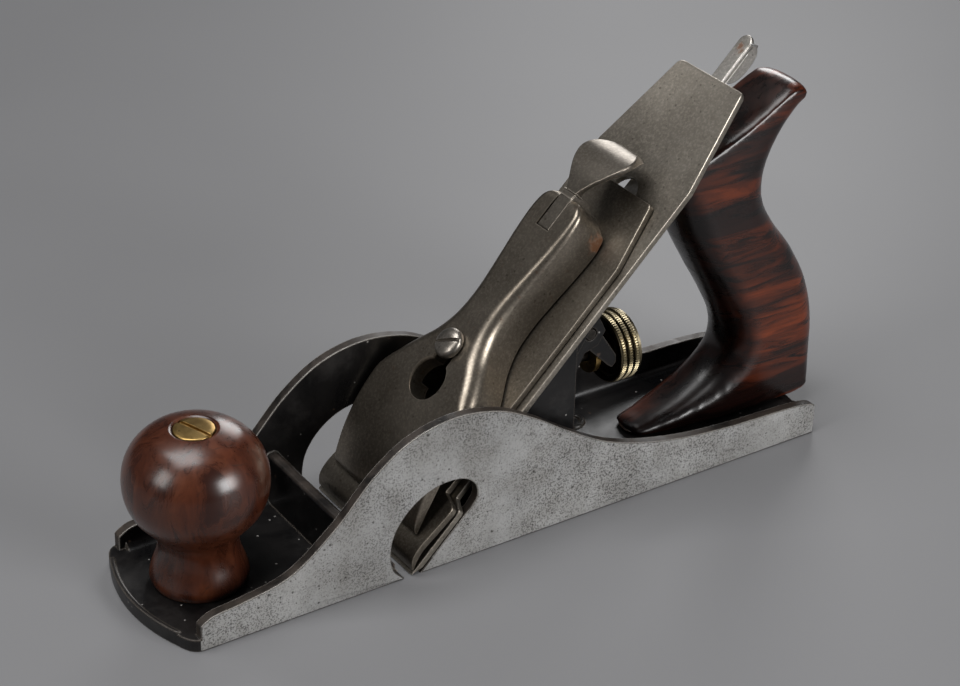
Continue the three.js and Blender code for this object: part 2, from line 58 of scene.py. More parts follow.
import bmesh
import bpy
import numpy as np
from mathutils import Matrix, Vector, geometry

MM = 0.001
EDGE_X = -39.3                      # where the iron's face meets the sole
SLOPE = math.sqrt(0.5)              # cosine and sine of the 45 degree bed


def on_plan(x, y, z):
    return (x, y, z)


def on_side(x, z, y):
    return (x, y, z)


def on_bed(s, y, h):
    return (EDGE_X + (s - h) * SLOPE, y, (s + h) * SLOPE)


def on_bed_side(s, h, y):
    return on_bed(s, y, h)


lowest, highest = (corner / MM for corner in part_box("sole_casting"))
HALF_LENGTH, HALF_WIDTH = highest.x, highest.y
print("sole casting", [round(v, 1) for v in highest - lowest], "mm")

# %% [markdown]
# A pattern maker works from outlines: a few measured points with a smooth curve laid through them. The
# curve here is a Catmull-Rom spline. It passes through each of its points, so a measured point
# stays where it was measured. It is cut into short steps, so that no silhouette looks faceted.


# %% Smooth outlines
def curve_through(points, step=1.3):
    """Points about one step apart on the smooth curve through the given ones."""
    p = np.array(points, float)
    p = np.vstack([2 * p[0] - p[1], p, 2 * p[-1] - p[-2]])
    made = []
    for i in range(1, len(p) - 2):
        a, b, c, d = p[i - 1:i + 3]
        gaps = [np.linalg.norm(v) ** 0.5 for v in (b - a, c - b, d - c)]
        t1, t2, t3 = np.cumsum(gaps)
        for t in np.linspace(t1, t2, max(2, int(np.linalg.norm(c - b) / step)), endpoint=False):
            ab = ((t1 - t) * a + t * b) / t1
            bc = ((t2 - t) * b + (t - t1) * c) / (t2 - t1)
            cd = ((t3 - t) * c + (t - t2) * d) / (t3 - t2)
            abc = ((t2 - t) * ab + t * bc) / t2
            bcd = ((t3 - t) * bc + (t - t1) * cd) / (t3 - t1)
            made.append(((t2 - t) * abc + (t - t1) * bcd) / (t2 - t1))
    return [tuple(q) for q in made] + [tuple(points[-1])]


def arc(centre, radius, start, end, steps=12):
    """Points on a round corner, with its angles in degrees."""
    angles = np.radians(np.linspace(start, end, steps + 1))
    return [(centre[0] + radius * math.cos(t), centre[1] + radius * math.sin(t)) for t in angles]


def mirrored(half):
    """Both sides of an outline whose points are given for one side."""
    return [*half, *[(a, -b) for a, b in reversed(half)]]


# %% [markdown]
# Most of the plane is flat stock or a casting with machined faces, so the natural way to model it is the
# machinist's: saw a blank to an outline, then cut holes and slots in it. `blank` extrudes an outline,
# `turned` spins a profile as a lathe does, and `worked` adds and cuts with exact booleans. Turning a
# profile by hand keeps its seam and poles closed, which a Screw modifier would leave open.


# %% Blanks, turning and cutting
def new_object(points, faces):
    mesh = bpy.data.meshes.new("blank")
    mesh.from_pydata([Vector(p) * MM for p in points], [], faces)
    work = bmesh.new()
    work.from_mesh(mesh)
    bmesh.ops.remove_doubles(work, verts=work.verts, dist=1e-7)
    bmesh.ops.recalc_face_normals(work, faces=work.faces)
    work.to_mesh(mesh)
    work.free()
    made = bpy.data.objects.new("blank", mesh)
    bpy.context.scene.collection.objects.link(made)
    return made


def blank(outline, low, high, place):
    """An outline given thickness from low to high; place turns (a, b, t) into x, y, z."""
    n = len(outline)
    points = [place(a, b, t) for t in (low, high) for a, b in outline]
    sides = [[i, (i + 1) % n, n + (i + 1) % n, n + i] for i in range(n)]
    return new_object(points, [list(range(n)), list(range(2 * n - 1, n - 1, -1)), *sides])


def turned(profile, place, sides=72):
    """A lathe piece: profile is (radius, height) from axis to axis; place puts (u, v, w) in the frame."""
    inner = profile[1:-1]
    points = [place(0, 0, profile[0][1])]
    for radius, height in inner:
        for k in range(sides):
            turn = 2 * math.pi * k / sides
            points.append(place(radius * math.cos(turn), radius * math.sin(turn), height))
    points.append(place(0, 0, profile[-1][1]))
    last = len(points) - 1
    faces = []
    for k in range(sides):
        after = (k + 1) % sides
        faces.append([0, 1 + after, 1 + k])
        for row in range(len(inner) - 1):
            a, b = 1 + row * sides, 1 + (row + 1) * sides
            faces.append([a + k, a + after, b + after, b + k])
        faces.append([last - sides + k, last - sides + after, last])
    return new_object(points, faces)


def rod(radius, centre, low, high, place, sides=40):
    """A round bar whose circle lies in the first two directions of place."""
    return blank(arc(centre, radius, 0, 360 - 360 / sides, sides - 1), low, high, place)


def block(a, b, t, place=on_plan):
    """A rectangular bar from three (low, high) pairs."""
    return blank([(a[0], b[0]), (a[1], b[0]), (a[1], b[1]), (a[0], b[1])], t[0], t[1], place)


def settled(piece):
    """The piece with its modifiers applied for good."""
    graph = bpy.context.evaluated_depsgraph_get()
    mesh = bpy.data.meshes.new_from_object(piece.evaluated_get(graph))
    piece.modifiers.clear()
    old, piece.data = piece.data, mesh
    bpy.data.meshes.remove(old)
    return piece


def worked(piece, add=(), cut=(), keep=()):
    """Adds, keeps the common part with, and cuts away the given tools, which are used up."""
    for operation, tools in (("UNION", add), ("INTERSECT", keep), ("DIFFERENCE", cut)):
        for tool in tools:
            step = piece.modifiers.new("step", "BOOLEAN")
            step.operation, step.object, step.solver = operation, tool, "EXACT"
    settled(piece)
    for tool in (*add, *keep, *cut):
        bpy.data.objects.remove(tool)
    return piece


def copy_of(node):
    """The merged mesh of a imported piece, whose own mesh stays as it is."""
    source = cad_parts[node].data
    piece = new_object([v.co / MM for v in source.vertices], [list(f.vertices) for f in source.polygons])
    work = bmesh.new()
    work.from_mesh(piece.data)
    bmesh.ops.dissolve_limit(work, angle_limit=math.radians(0.6), verts=work.verts, edges=work.edges)
    work.to_mesh(piece.data)
    work.free()
    return piece


# %% [markdown]
# No real edge is perfectly sharp, and it is the small rounding along it that catches the light. A Bevel
# modifier limited by angle rounds every edge that turns enough, and a Weighted Normal modifier keeps the
# wide faces flat while the small ones shade round. `hand_over` then gives the piece its finishes and
# says which body it rides on and which imported pieces it stands for.

# %% Edges, and handing a piece to the frame
PIECES = []


def softened(piece, width, segments=2, angle=32):
    """Rounds the edges that turn more than the angle."""
    edge = piece.modifiers.new("edges", "BEVEL")
    edge.width, edge.segments, edge.limit_method = width * MM, segments, "ANGLE"
    edge.angle_limit, edge.use_clamp_overlap = math.radians(angle), False
    piece.modifiers.new("wide faces", "TRIANGULATE").min_vertices = 5
    return settled(piece)


def shaded(piece, sharp=42):
    """Smooth shading that stops at sharp edges and leaves wide faces flat."""
    piece.data.polygons.foreach_set("use_smooth", [True] * len(piece.data.polygons))
    piece.data.set_sharp_from_angle(angle=math.radians(sharp))
    weights = piece.modifiers.new("normals", "WEIGHTED_NORMAL")
    weights.keep_sharp = True
    return settled(piece)


def hand_over(piece, name, body, slot, finishes, replaces=(), choose=None):
    """Names the piece, keeps it inside its nodes, gives it its finishes, and hangs it on its body."""
    piece.name = piece.data.name = name
    corners = [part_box(node) for node in (replaces or (name,))]
    low = [min(corner[0][i] for corner in corners) for i in range(3)]
    high = [max(corner[1][i] for corner in corners) for i in range(3)]
    for vertex in piece.data.vertices:
        vertex.co = [min(max(c, a), b) for c, a, b in zip(vertex.co, low, high)]
    piece.data.materials.clear()
    for finish in finishes:
        piece.data.materials.append(finish)
    for face in piece.data.polygons:
        face.material_index = choose(face) if choose else 0
    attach(piece, body)
    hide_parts(*(replaces or (name,)))
    PIECES.append(piece)
    print(f"{name}: {len(piece.data.polygons)} faces")
    return piece


# %% [markdown]
# ## Finishes
# An old tool's surfaces share a few effects: edges rubbed bright, pits and dark specks in iron, long
# scratches from honing, slow changes of tone, and dust. Each effect is a shader group, built once and
# placed in each material with its own values. `Wiring` is a short way to add a node, set its
# sockets and join it up in one line.


# %% A short way to wire nodes
class Wiring:
    """Adds nodes to one tree. A value that is a socket is linked, and any other value is set."""

    def __init__(self, tree):
        self.tree = tree
        self.at = None

    def node(self, kind, values=None, **settings):
        made = self.tree.nodes.new(kind)
        for key, value in settings.items():
            setattr(made, key, value)
        for key, value in (values or {}).items():
            if isinstance(value, bpy.types.NodeSocket):
                self.tree.links.new(value, made.inputs[key])
            else:
                made.inputs[key].default_value = value
        return made

    def sum(self, operation, *values):
        return self.node("ShaderNodeMath", dict(enumerate(values)), operation=operation).outputs[0]

    def between(self, value, low, high, start=0.0, end=1.0):
        """value from low to high becomes start to end, and stays there outside."""
        return self.node("ShaderNodeMapRange", {"Value": value, "From Min": low, "From Max": high,
                                                "To Min": start, "To Max": end}).outputs[0]

    def mix(self, share, first, second):
        return self.node("ShaderNodeMix", {0: share, 6: first, 7: second}, data_type="RGBA").outputs[2]

    def place(self):
        """The piece's own coordinates, in metres."""
        self.at = self.at or self.node("ShaderNodeTexCoord").outputs["Object"]
        return self.at

    def stretched(self, scale, turn=(0, 0, 0)):
        return self.node("ShaderNodeMapping", {"Vector": self.place(), "Scale": scale,
                                               "Rotation": turn}).outputs[0]

    def noise(self, vector, scale, detail=3.0, roughness=0.55, distortion=0.0):
        return self.node("ShaderNodeTexNoise", {"Vector": vector, "Scale": scale, "Detail": detail,
                                                "Roughness": roughness,
                                                "Distortion": distortion}).outputs[0]


def effect(name, inputs, outputs):
    """A new shader group with named inputs and outputs, and its wiring."""
    tree = bpy.data.node_groups.new(name, "ShaderNodeTree")
    for label, value in inputs.items():
        kind = "NodeSocketVector" if isinstance(value, tuple) else "NodeSocketFloat"
        tree.interface.new_socket(label, in_out="INPUT", socket_type=kind).default_value = value
    for label in outputs:
        tree.interface.new_socket(label, in_out="OUTPUT", socket_type="NodeSocketFloat")
    wiring = Wiring(tree)
    return wiring, wiring.node("NodeGroupInput").outputs, wiring.node("NodeGroupOutput")


def close(wiring, end, **results):
    for label, socket in results.items():
        wiring.tree.links.new(socket, end.inputs[label.replace("_", " ")])
    return wiring.tree


# %% [markdown]
# **Rubbed edges.** Hands, shavings and the edge of a bench polish the corners of a tool first. The Bevel
# node gives the normal that a rounded corner would have. Where it leans away from the true one there is an
# edge, and a noise breaks that line up so that it doesn't look drawn on.

# %% Effect: rubbed edges
w, given, end = effect("rubbed edges", {"Width": 0.0006, "Breakup": 400.0, "Reach": 0.5}, ["Mask"])
rounded = w.node("ShaderNodeBevel", {"Radius": given["Width"]}, samples=4).outputs[0]
true_normal = w.node("ShaderNodeNewGeometry").outputs["Normal"]
lean = w.node("ShaderNodeVectorMath", {0: rounded, 1: true_normal},
              operation="DOT_PRODUCT").outputs["Value"]
rough_line = w.noise(w.place(), given["Breakup"], 3.0, 0.7)
line = w.between(w.sum("SUBTRACT", 1.0, lean), 0.01, 0.12)
broken = w.between(w.sum("ADD", w.sum("MULTIPLY", line, 0.75),
                         w.sum("MULTIPLY", rough_line, given["Reach"])),
                   0.55, 0.85)
RUBBED_EDGES = close(w, end, Mask=w.sum("MULTIPLY", broken, w.between(line, 0.0, 0.15)))

# %% [markdown]
# **Pits and specks.** Ground iron that has been wiped with oil for a century is peppered with fine dark
# specks, thicker in some places than in others, and with a few larger rust pits. A Voronoi cell gives each
# speck a centre, and the cell's random colour decides whether it has one at all. The same masks serve as
# height.

# %% Effect: pits and specks
w, given, end = effect("pits and specks", {"Scale": 900.0, "Share": 0.3, "Size": 0.3, "Patches": 35.0},
                       ["Mask", "Height"])
stray = w.node("ShaderNodeTexNoise", {"Vector": w.place(), "Scale": 700.0, "Detail": 2.0})
wobble = w.node("ShaderNodeVectorMath", {0: stray.outputs["Color"], "Scale": 0.0009},
                operation="SCALE").outputs[0]
spot_at = w.node("ShaderNodeVectorMath", {0: w.place(), 1: wobble}, operation="ADD").outputs[0]
cells = w.node("ShaderNodeTexVoronoi", {"Vector": spot_at, "Scale": given["Scale"]})
chance = w.node("ShaderNodeSeparateColor", {"Color": cells.outputs["Color"]}).outputs
patch = w.between(w.noise(w.place(), given["Patches"], 4.0, 0.6), 0.38, 0.62, 0.25, 1.35)
picked = w.sum("LESS_THAN", chance[0], w.sum("MULTIPLY", given["Share"], patch))
size = w.sum("MULTIPLY", given["Size"], w.between(chance[1], 0.0, 1.0, 0.45, 1.0))
dot = w.between(w.sum("DIVIDE", cells.outputs["Distance"], size), 1.0, 0.55)
mask = w.sum("MULTIPLY", dot, picked)
PITS = close(w, end, Mask=mask, Height=w.sum("SUBTRACT", 1.0, mask))

# %% [markdown]
# **Tone and hairlines.** Steel darkens unevenly where it is handled, and honing leaves long fine lines in
# the direction of the stroke. Both are noises. The first is slow and soft, and the second is the same noise
# pulled out along the stroke, so one input holds how far the pattern is stretched in each direction.

# %% Effects: slow tone, hairlines and dust
w, given, end = effect("slow tone", {"Scale": 30.0, "Contrast": 0.25}, ["Tone"])
slow = w.noise(w.place(), given["Scale"], 6.0, 0.62, 0.4)
spread = w.sum("ADD", 0.5, given["Contrast"])
TONE = close(w, end,
             Tone=w.node("ShaderNodeMapRange", {"Value": slow, "From Min": w.sum("SUBTRACT", 1.0, spread),
                                                "From Max": spread}).outputs[0])

w, given, end = effect("hairlines", {"Stretch": (40.0, 2500.0, 2500.0), "Share": 0.4}, ["Mask"])
pulled = w.node("ShaderNodeVectorMath", {0: w.place(), 1: given["Stretch"]},
                operation="MULTIPLY").outputs[0]
fine = w.noise(pulled, 1.0, 2.0, 0.6)
floor_level = w.sum("SUBTRACT", 0.78, w.sum("MULTIPLY", given["Share"], 0.3))
HAIRLINES = close(w, end, Mask=w.node("ShaderNodeMapRange", {"Value": fine, "From Min": floor_level,
                                                            "From Max": 0.8}).outputs[0])

w, given, end = effect("dust", {"Scale": 420.0, "Share": 0.02}, ["Mask"])
motes = w.node("ShaderNodeTexVoronoi", {"Vector": w.place(), "Scale": given["Scale"]})
mote_chance = w.node("ShaderNodeSeparateColor", {"Color": motes.outputs["Color"]}).outputs
film = w.between(w.noise(w.place(), 60.0, 5.0, 0.7), 0.52, 0.78, 0.0, 0.07)
speck = w.sum("MULTIPLY", w.between(motes.outputs["Distance"], 0.17, 0.1),
              w.sum("LESS_THAN", mote_chance[0], given["Share"]))
DUST = close(w, end, Mask=w.sum("ADD", speck, film))

# %% [markdown]
# **Timber figure.** Rosewood shows dark growth lines that wander, orange-red heartwood between them, and
# short open pores. The lines are bands across the grain that a slow noise bends. The pores are a noise
# drawn out along the grain. The stretch and the turn of the grain come in as a vector, so the knob
# and the tote can be sawn from the same plank in their own directions.

# %% Effect: timber figure
w, given, end = effect("timber figure", {"Grain Place": (0.0, 0.0, 0.0), "Line Scale": 1.0},
                       ["Lines", "Figure", "Pores"])
bend = w.node("ShaderNodeTexNoise",
              {"Vector": given["Grain Place"], "Scale": 1.4, "Detail": 3.0}).outputs["Color"]
shift = w.node("ShaderNodeVectorMath", {0: bend, "Scale": 1.1}, operation="SCALE").outputs[0]
bent = w.node("ShaderNodeVectorMath", {0: given["Grain Place"], 1: shift}, operation="ADD").outputs[0]
lines = w.noise(bent, w.sum("MULTIPLY", given["Line Scale"], 3.2), 6.0, 0.68, 0.6)
figure = w.noise(bent, 0.9, 3.0, 0.5, 1.2)
pulled = w.node("ShaderNodeVectorMath", {0: given["Grain Place"], 1: (1.2, 14.0, 14.0)},
                operation="MULTIPLY").outputs[0]
pores = w.between(w.noise(pulled, 1.6, 3.0, 0.7), 0.6, 0.72)
TIMBER = close(w, end, Lines=w.between(lines, 0.36, 0.62), Figure=w.between(figure, 0.4, 0.66), Pores=pores)

# %% [markdown]
# A material starts from a Principled shader with its constant values set on its own sockets. What
# changes over the surface is wired in: colour, roughness and bump. `use` places an effect in the
# material with the values for that finish.


# %% Starting and closing a material
def finish_named(name, **constants):
    """A new material with a Principled shader, and its wiring."""
    made = bpy.data.materials.new(name)
    made.use_nodes = True
    tree = made.node_tree
    tree.nodes.clear()
    wiring = Wiring(tree)
    shader = wiring.node("ShaderNodeBsdfPrincipled", {k.replace("_", " "): v for k, v in constants.items()})
    tree.links.new(shader.outputs[0], wiring.node("ShaderNodeOutputMaterial").inputs[0])
    return made, wiring, shader


def use(wiring, group, **values):
    """An effect, placed with these values."""
    made = wiring.node("ShaderNodeGroup", None, node_tree=group)
    for label, value in values.items():
        socket = made.inputs[label.replace("_", " ")]
        if isinstance(value, bpy.types.NodeSocket):
            wiring.tree.links.new(value, socket)
        else:
            socket.default_value = value
    return made


def surface(wiring, shader, colour, roughness, height=None, depth=0.0001, strength=0.5):
    """Joins the colour, the roughness and the bump to the shader."""
    wiring.tree.links.new(colour, shader.inputs["Base Color"])
    if isinstance(roughness, bpy.types.NodeSocket):
        wiring.tree.links.new(roughness, shader.inputs["Roughness"])
    if height is not None:
        bump = wiring.node("ShaderNodeBump", {"Height": height, "Strength": strength, "Distance": depth})
        wiring.tree.links.new(bump.outputs[0], shader.inputs["Normal"])


def rgb(red, green, blue):
    return (red, green, blue, 1.0)


# %% [markdown]
# **Ground cheeks.** The sole and the outsides of the cheeks were surface ground, so they show pale grey
# iron. Fine dark specks cover them in slow patches, with a few larger pits. The lines of the grinding run
# from toe to heel.

# %% Ground iron
ground_iron, w, shader = finish_named("ground_iron", Metallic=0.55)
tone = use(w, TONE, Scale=26.0, Contrast=0.2).outputs[0]
grime = use(w, TONE, Scale=75.0, Contrast=0.14).outputs[0]
specks = use(w, PITS, Scale=1500.0, Share=0.62, Size=0.55, Patches=34.0).outputs
crumbs = use(w, PITS, Scale=560.0, Share=0.3, Size=0.36, Patches=26.0).outputs
holes = use(w, PITS, Scale=120.0, Share=0.045, Size=0.13, Patches=22.0).outputs
lines = use(w, HAIRLINES, Stretch=(60.0, 2600.0, 2600.0), Share=0.5).outputs[0]
colour = w.mix(tone, rgb(0.41, 0.407, 0.4), rgb(0.58, 0.576, 0.565))
colour = w.mix(w.sum("MULTIPLY", grime, 0.5), colour, rgb(0.25, 0.235, 0.21))
colour = w.mix(w.sum("MULTIPLY", lines, 0.22), colour, rgb(0.62, 0.61, 0.6))
patchy = w.between(w.noise(w.place(), 38.0, 4.0, 0.6), 0.4, 0.64, 0.25, 1.0)
grain = w.sum("MULTIPLY", w.between(w.noise(w.place(), 1600.0, 3.0, 0.75), 0.51, 0.57), patchy)
colour = w.mix(w.sum("MULTIPLY", grain, 0.85), colour, rgb(0.045, 0.042, 0.04))
colour = w.mix(w.sum("MULTIPLY", specks["Mask"], 0.6), colour, rgb(0.11, 0.1, 0.09))
colour = w.mix(w.sum("MULTIPLY", crumbs["Mask"], 0.85), colour, rgb(0.035, 0.03, 0.027))
colour = w.mix(holes["Mask"], colour, rgb(0.02, 0.017, 0.014))
height = w.sum("SUBTRACT", w.sum("MULTIPLY", specks["Height"], 0.3), w.sum("MULTIPLY", holes["Mask"], 1.2))
surface(w, shader, colour, w.between(w.sum("ADD", tone, specks["Mask"]), 0.0, 1.6, 0.36, 0.6), height,
        0.00012, 0.5)

# %% [markdown]
# **Japanning.** The inside of the casting, the frog and the yoke were baked with a thick black varnish. It
# is glossy where it is whole, dulled by dust in the corners, and rubbed to brown and grey iron on the
# edges. The varnish has a faint orange-peel texture.


# %% Japanning and worn arrises
def japanned(name, wear, brown):
    made, w, shader = finish_named(name, Specular_IOR_Level=0.35)
    rubbed = use(w, RUBBED_EDGES, Width=0.0009, Breakup=520.0, Reach=wear).outputs[0]
    tone = use(w, TONE, Scale=55.0, Contrast=0.16).outputs[0]
    motes = use(w, DUST, Scale=430.0, Share=0.1).outputs[0]
    chips = use(w, PITS, Scale=260.0, Share=0.1, Size=0.24, Patches=24.0).outputs
    colour = w.mix(tone, rgb(0.003, 0.003, 0.0035), rgb(0.011, 0.0095, 0.009))
    colour = w.mix(w.sum("MULTIPLY", chips["Mask"], 0.45), colour, rgb(0.1, 0.065, 0.045))
    colour = w.mix(w.sum("MULTIPLY", rubbed, 0.8), colour, brown)
    colour = w.mix(w.sum("MULTIPLY", motes, 0.7), colour, rgb(0.42, 0.4, 0.38))
    peel = w.noise(w.place(), 520.0, 3.0, 0.6)
    height = w.sum("ADD", peel, w.sum("MULTIPLY", chips["Height"], 0.6))
    rough = w.between(w.sum("ADD", w.sum("MULTIPLY", tone, 0.6), motes), 0.0, 1.0, 0.26, 0.55)
    surface(w, shader, colour, rough, height, 0.00009, 0.35)
    return made


japanning = japanned("japanning", 0.4, rgb(0.13, 0.11, 0.09))
frog_japanning = japanned("frog_japanning", 0.22, rgb(0.1, 0.085, 0.07))

arris_iron, w, shader = finish_named("arris_iron", Metallic=0.35)
rubbed = use(w, RUBBED_EDGES, Width=0.0007, Breakup=300.0, Reach=0.62).outputs[0]
tone = use(w, TONE, Scale=120.0, Contrast=0.14).outputs[0]
specks = use(w, PITS, Scale=700.0, Share=0.4, Size=0.4, Patches=60.0).outputs
colour = w.mix(tone, rgb(0.013, 0.011, 0.01), rgb(0.05, 0.038, 0.03))
colour = w.mix(rubbed, colour, rgb(0.42, 0.4, 0.37))
colour = w.mix(w.sum("MULTIPLY", specks["Mask"], 0.5), colour, rgb(0.02, 0.017, 0.015))
surface(w, shader, colour, w.between(tone, 0.0, 1.0, 0.35, 0.6), specks["Height"], 0.00008, 0.5)

# %% [markdown]
# ** Blade and cap steel.** The loose parts were polished bright, then toned brown-grey by oil and air. Each
# one gets the same recipe with its own colours: a slow tone, fine hairlines along the piece, dark specks
# and paler rubbed edges. The lever cap has a patch of orange rust near its top on one flank, so the recipe
# takes a centre and a reach for it. The cap iron's colours are darker than the blade's, as painted shade
# for the shadow it lies in.


# %% Toned steel
def toned_steel(name, dark, light, rough, specks=0.25, lines=0.3, rust_at=None, rust_reach=9.0, edge=0.45):
    made, w, shader = finish_named(name, Metallic=0.92)
    tone = use(w, TONE, Scale=34.0, Contrast=0.2).outputs[0]
    cloud = use(w, TONE, Scale=160.0, Contrast=0.16).outputs[0]
    rubbed = use(w, RUBBED_EDGES, Width=0.0005, Breakup=250.0, Reach=edge).outputs[0]
    spots = use(w, PITS, Scale=620.0, Share=specks, Size=0.34, Patches=40.0).outputs
    hair = use(w, HAIRLINES, Stretch=(260.0, 2600.0, 260.0), Share=lines).outputs[0]
    colour = w.mix(tone, rgb(*dark), rgb(*light))
    colour = w.mix(w.sum("MULTIPLY", cloud, 0.35), colour, rgb(*(0.72 * c for c in dark)))
    colour = w.mix(w.sum("MULTIPLY", hair, 0.25), colour, rgb(*(min(1.0, 1.5 * c) for c in light)))
    mottle = w.between(w.noise(w.place(), 1100.0, 3.0, 0.75), 0.46, 0.66)
    colour = w.mix(w.sum("MULTIPLY", mottle, 0.4), colour, rgb(*(min(1.0, 1.6 * c) for c in light)))
    colour = w.mix(w.sum("MULTIPLY", spots["Mask"], 0.5), colour, rgb(0.05, 0.04, 0.03))
    colour = w.mix(w.sum("MULTIPLY", rubbed, 0.75), colour, rgb(*(min(1.0, 1.9 * c) for c in light)))
    rough_at = w.between(w.sum("ADD", tone, w.sum("MULTIPLY", cloud, 0.5)), 0.0, 1.5, rough[0], rough[1])
    if rust_at:
        away = w.node("ShaderNodeVectorMath", {0: w.place(), 1: tuple(MM * v for v in rust_at)},
                      operation="DISTANCE").outputs["Value"]
        ragged = w.sum("ADD", w.between(away, 0.0, rust_reach * MM, 1.0, 0.0),
                       w.between(w.noise(w.place(), 420.0, 5.0, 0.7), 0.3, 0.7, -0.45, 0.45))
        rust = w.between(ragged, 0.25, 0.75)
        colour = w.mix(w.sum("MULTIPLY", rust, 0.8), colour, rgb(0.16, 0.06, 0.02))
        rough_at = w.sum("MAXIMUM", rough_at, w.sum("MULTIPLY", rust, 0.8))
    height = w.sum("ADD", w.sum("MULTIPLY", spots["Height"], 0.6), w.sum("MULTIPLY", hair, 0.15))
    surface(w, shader, colour, rough_at, height, 0.00005, 0.35)
    return made


cap_steel = toned_steel("cap_steel", (0.155, 0.131, 0.103), (0.26, 0.228, 0.188), (0.26, 0.36),
                        rust_at=on_bed(110, -10.4, 4.6), rust_reach=6.0)
cam_steel = toned_steel("cam_steel", (0.15, 0.13, 0.106), (0.24, 0.214, 0.182), (0.3, 0.4), 0.15)
blade_steel = toned_steel("blade_steel", (0.215, 0.19, 0.157), (0.33, 0.299, 0.256), (0.33, 0.44), 0.4,
                          edge=0.55)
# The cap iron's darker colours are painted shade for the shadow it lies in.
cap_iron_steel = toned_steel("cap_iron_steel", (0.125, 0.106, 0.083), (0.22, 0.194, 0.16), (0.33, 0.45),
                             0.4)
lever_steel = toned_steel("lever_steel", (0.4, 0.375, 0.34), (0.6, 0.57, 0.53), (0.3, 0.42), 0.2,
                          rust_at=on_bed(183, 0.2, -2.6), rust_reach=3.0)
screw_steel = toned_steel("screw_steel", (0.2, 0.182, 0.158), (0.33, 0.3, 0.265), (0.26, 0.38), 0.2)
black_steel = toned_steel("black_steel", (0.03, 0.027, 0.024), (0.07, 0.062, 0.054), (0.35, 0.5), 0.3)


# %% [markdown]
# **Brass.** The nuts and the depth wheel are brass. The nuts are scratched by years of screwdrivers. The
# wheel has gone pale on its milled ridges and nearly black in its grooves, which is simply a matter of how
# far a point lies from the wheel's axis, so the material measures that.


# %% Brass
def brass_finish(name, dark, light, axis_height=None, groove=(10.3, 11.1)):
    made, w, shader = finish_named(name, Metallic=1.0)
    tone = use(w, TONE, Scale=140.0, Contrast=0.2).outputs[0]
    hair = use(w, HAIRLINES, Stretch=(2200.0, 500.0, 900.0), Share=0.75).outputs[0]
    spots = use(w, PITS, Scale=800.0, Share=0.2, Size=0.4, Patches=120.0).outputs
    colour = w.mix(tone, rgb(*dark), rgb(*light))
    colour = w.mix(w.sum("MULTIPLY", hair, 0.4), colour, rgb(*(0.45 * c for c in dark)))
    colour = w.mix(w.sum("MULTIPLY", spots["Mask"], 0.6), colour, rgb(0.06, 0.04, 0.015))
    if axis_height:
        across = w.node("ShaderNodeSeparateXYZ", {0: w.place()}).outputs
        up = w.sum("SUBTRACT", across[2], axis_height * MM)
        radius = w.sum("SQRT",
                       w.sum("ADD", w.sum("MULTIPLY", across[1], across[1]), w.sum("MULTIPLY", up, up)))
        colour = w.mix(w.between(radius, groove[0] * MM, groove[1] * MM), rgb(0.018, 0.013, 0.008), colour)
    height = w.sum("SUBTRACT", spots["Height"], hair)
    surface(w, shader, colour, w.between(tone, 0.0, 1.0, 0.26, 0.42), height, 0.00005, 0.3)
    return made


nut_brass = brass_finish("nut_brass", (0.3, 0.185, 0.058), (0.5, 0.335, 0.125))
STUD_Z = 37.8                       # height of the depth screw
wheel_brass = brass_finish("wheel_brass", (0.28, 0.23, 0.135), (0.5, 0.43, 0.29), STUD_Z, (10.45, 11.15))


# %% [markdown]
# ** Rosewood.** The knob and the tote are Brazilian rosewood under old varnish. The varnish is the
# Principled shader's coat, a thin clear layer with its own gloss. The knob is an even red-brown. The tote
# has orange-red figure between nearly black lines that run across its side. The tote's faces that turn
# toward the toe are darkened further as painted shade.


# %% Rosewood
def rosewood(name, scale, turn, deep, warm, bright, figure_share, line_scale=1.0, painted_front_shade=0.0):
    made, w, shader = finish_named(name, Coat_Weight=0.45, Coat_Roughness=0.24, Specular_IOR_Level=0.35)
    grain = use(w, TIMBER, Grain_Place=w.stretched(scale, turn), Line_Scale=line_scale).outputs
    tone = use(w, TONE, Scale=22.0, Contrast=0.2).outputs[0]
    wear = use(w, RUBBED_EDGES, Width=0.0008, Breakup=220.0, Reach=0.3).outputs[0]
    dents = use(w, PITS, Scale=240.0, Share=0.06, Size=0.14, Patches=30.0).outputs
    colour = w.mix(grain["Lines"], rgb(*deep), rgb(*warm))
    colour = w.mix(w.sum("MULTIPLY", w.sum("MULTIPLY", grain["Figure"], grain["Lines"]), figure_share),
                   colour, rgb(*bright))
    colour = w.mix(w.sum("MULTIPLY", w.sum("SUBTRACT", 1.0, tone), 0.45), colour,
                   rgb(*(0.4 * c for c in deep)))
    # Painted shade: the faces that turn toward the toe are darkened, more the further they turn.
    facing = w.node("ShaderNodeSeparateXYZ",
                    {0: w.node("ShaderNodeNewGeometry").outputs["Normal"]}).outputs[0]
    colour = w.mix(w.between(facing, 0.05, -0.5, 0.0, painted_front_shade), colour, rgb(*(0.7 * c for c in deep)))
    colour = w.mix(w.sum("MULTIPLY", grain["Pores"], 0.55), colour, rgb(0.012, 0.006, 0.004))
    colour = w.mix(w.sum("MULTIPLY", dents["Mask"], 0.7), colour, rgb(0.02, 0.009, 0.006))
    colour = w.mix(w.sum("MULTIPLY", wear, 0.25), colour, rgb(0.3, 0.17, 0.1))
    height = w.sum("SUBTRACT", dents["Height"], w.sum("MULTIPLY", grain["Pores"], 0.5))
    surface(w, shader, colour, w.between(grain["Lines"], 0.0, 1.0, 0.24, 0.34), height, 0.00012, 0.25)
    return made


knob_rosewood = rosewood("knob_rosewood", (60.0, 60.0, 16.0), (0.0, 0.0, 0.0), (0.026, 0.0062, 0.0028),
                         (0.078, 0.019, 0.0072), (0.13, 0.038, 0.0145), 0.5, 0.8)
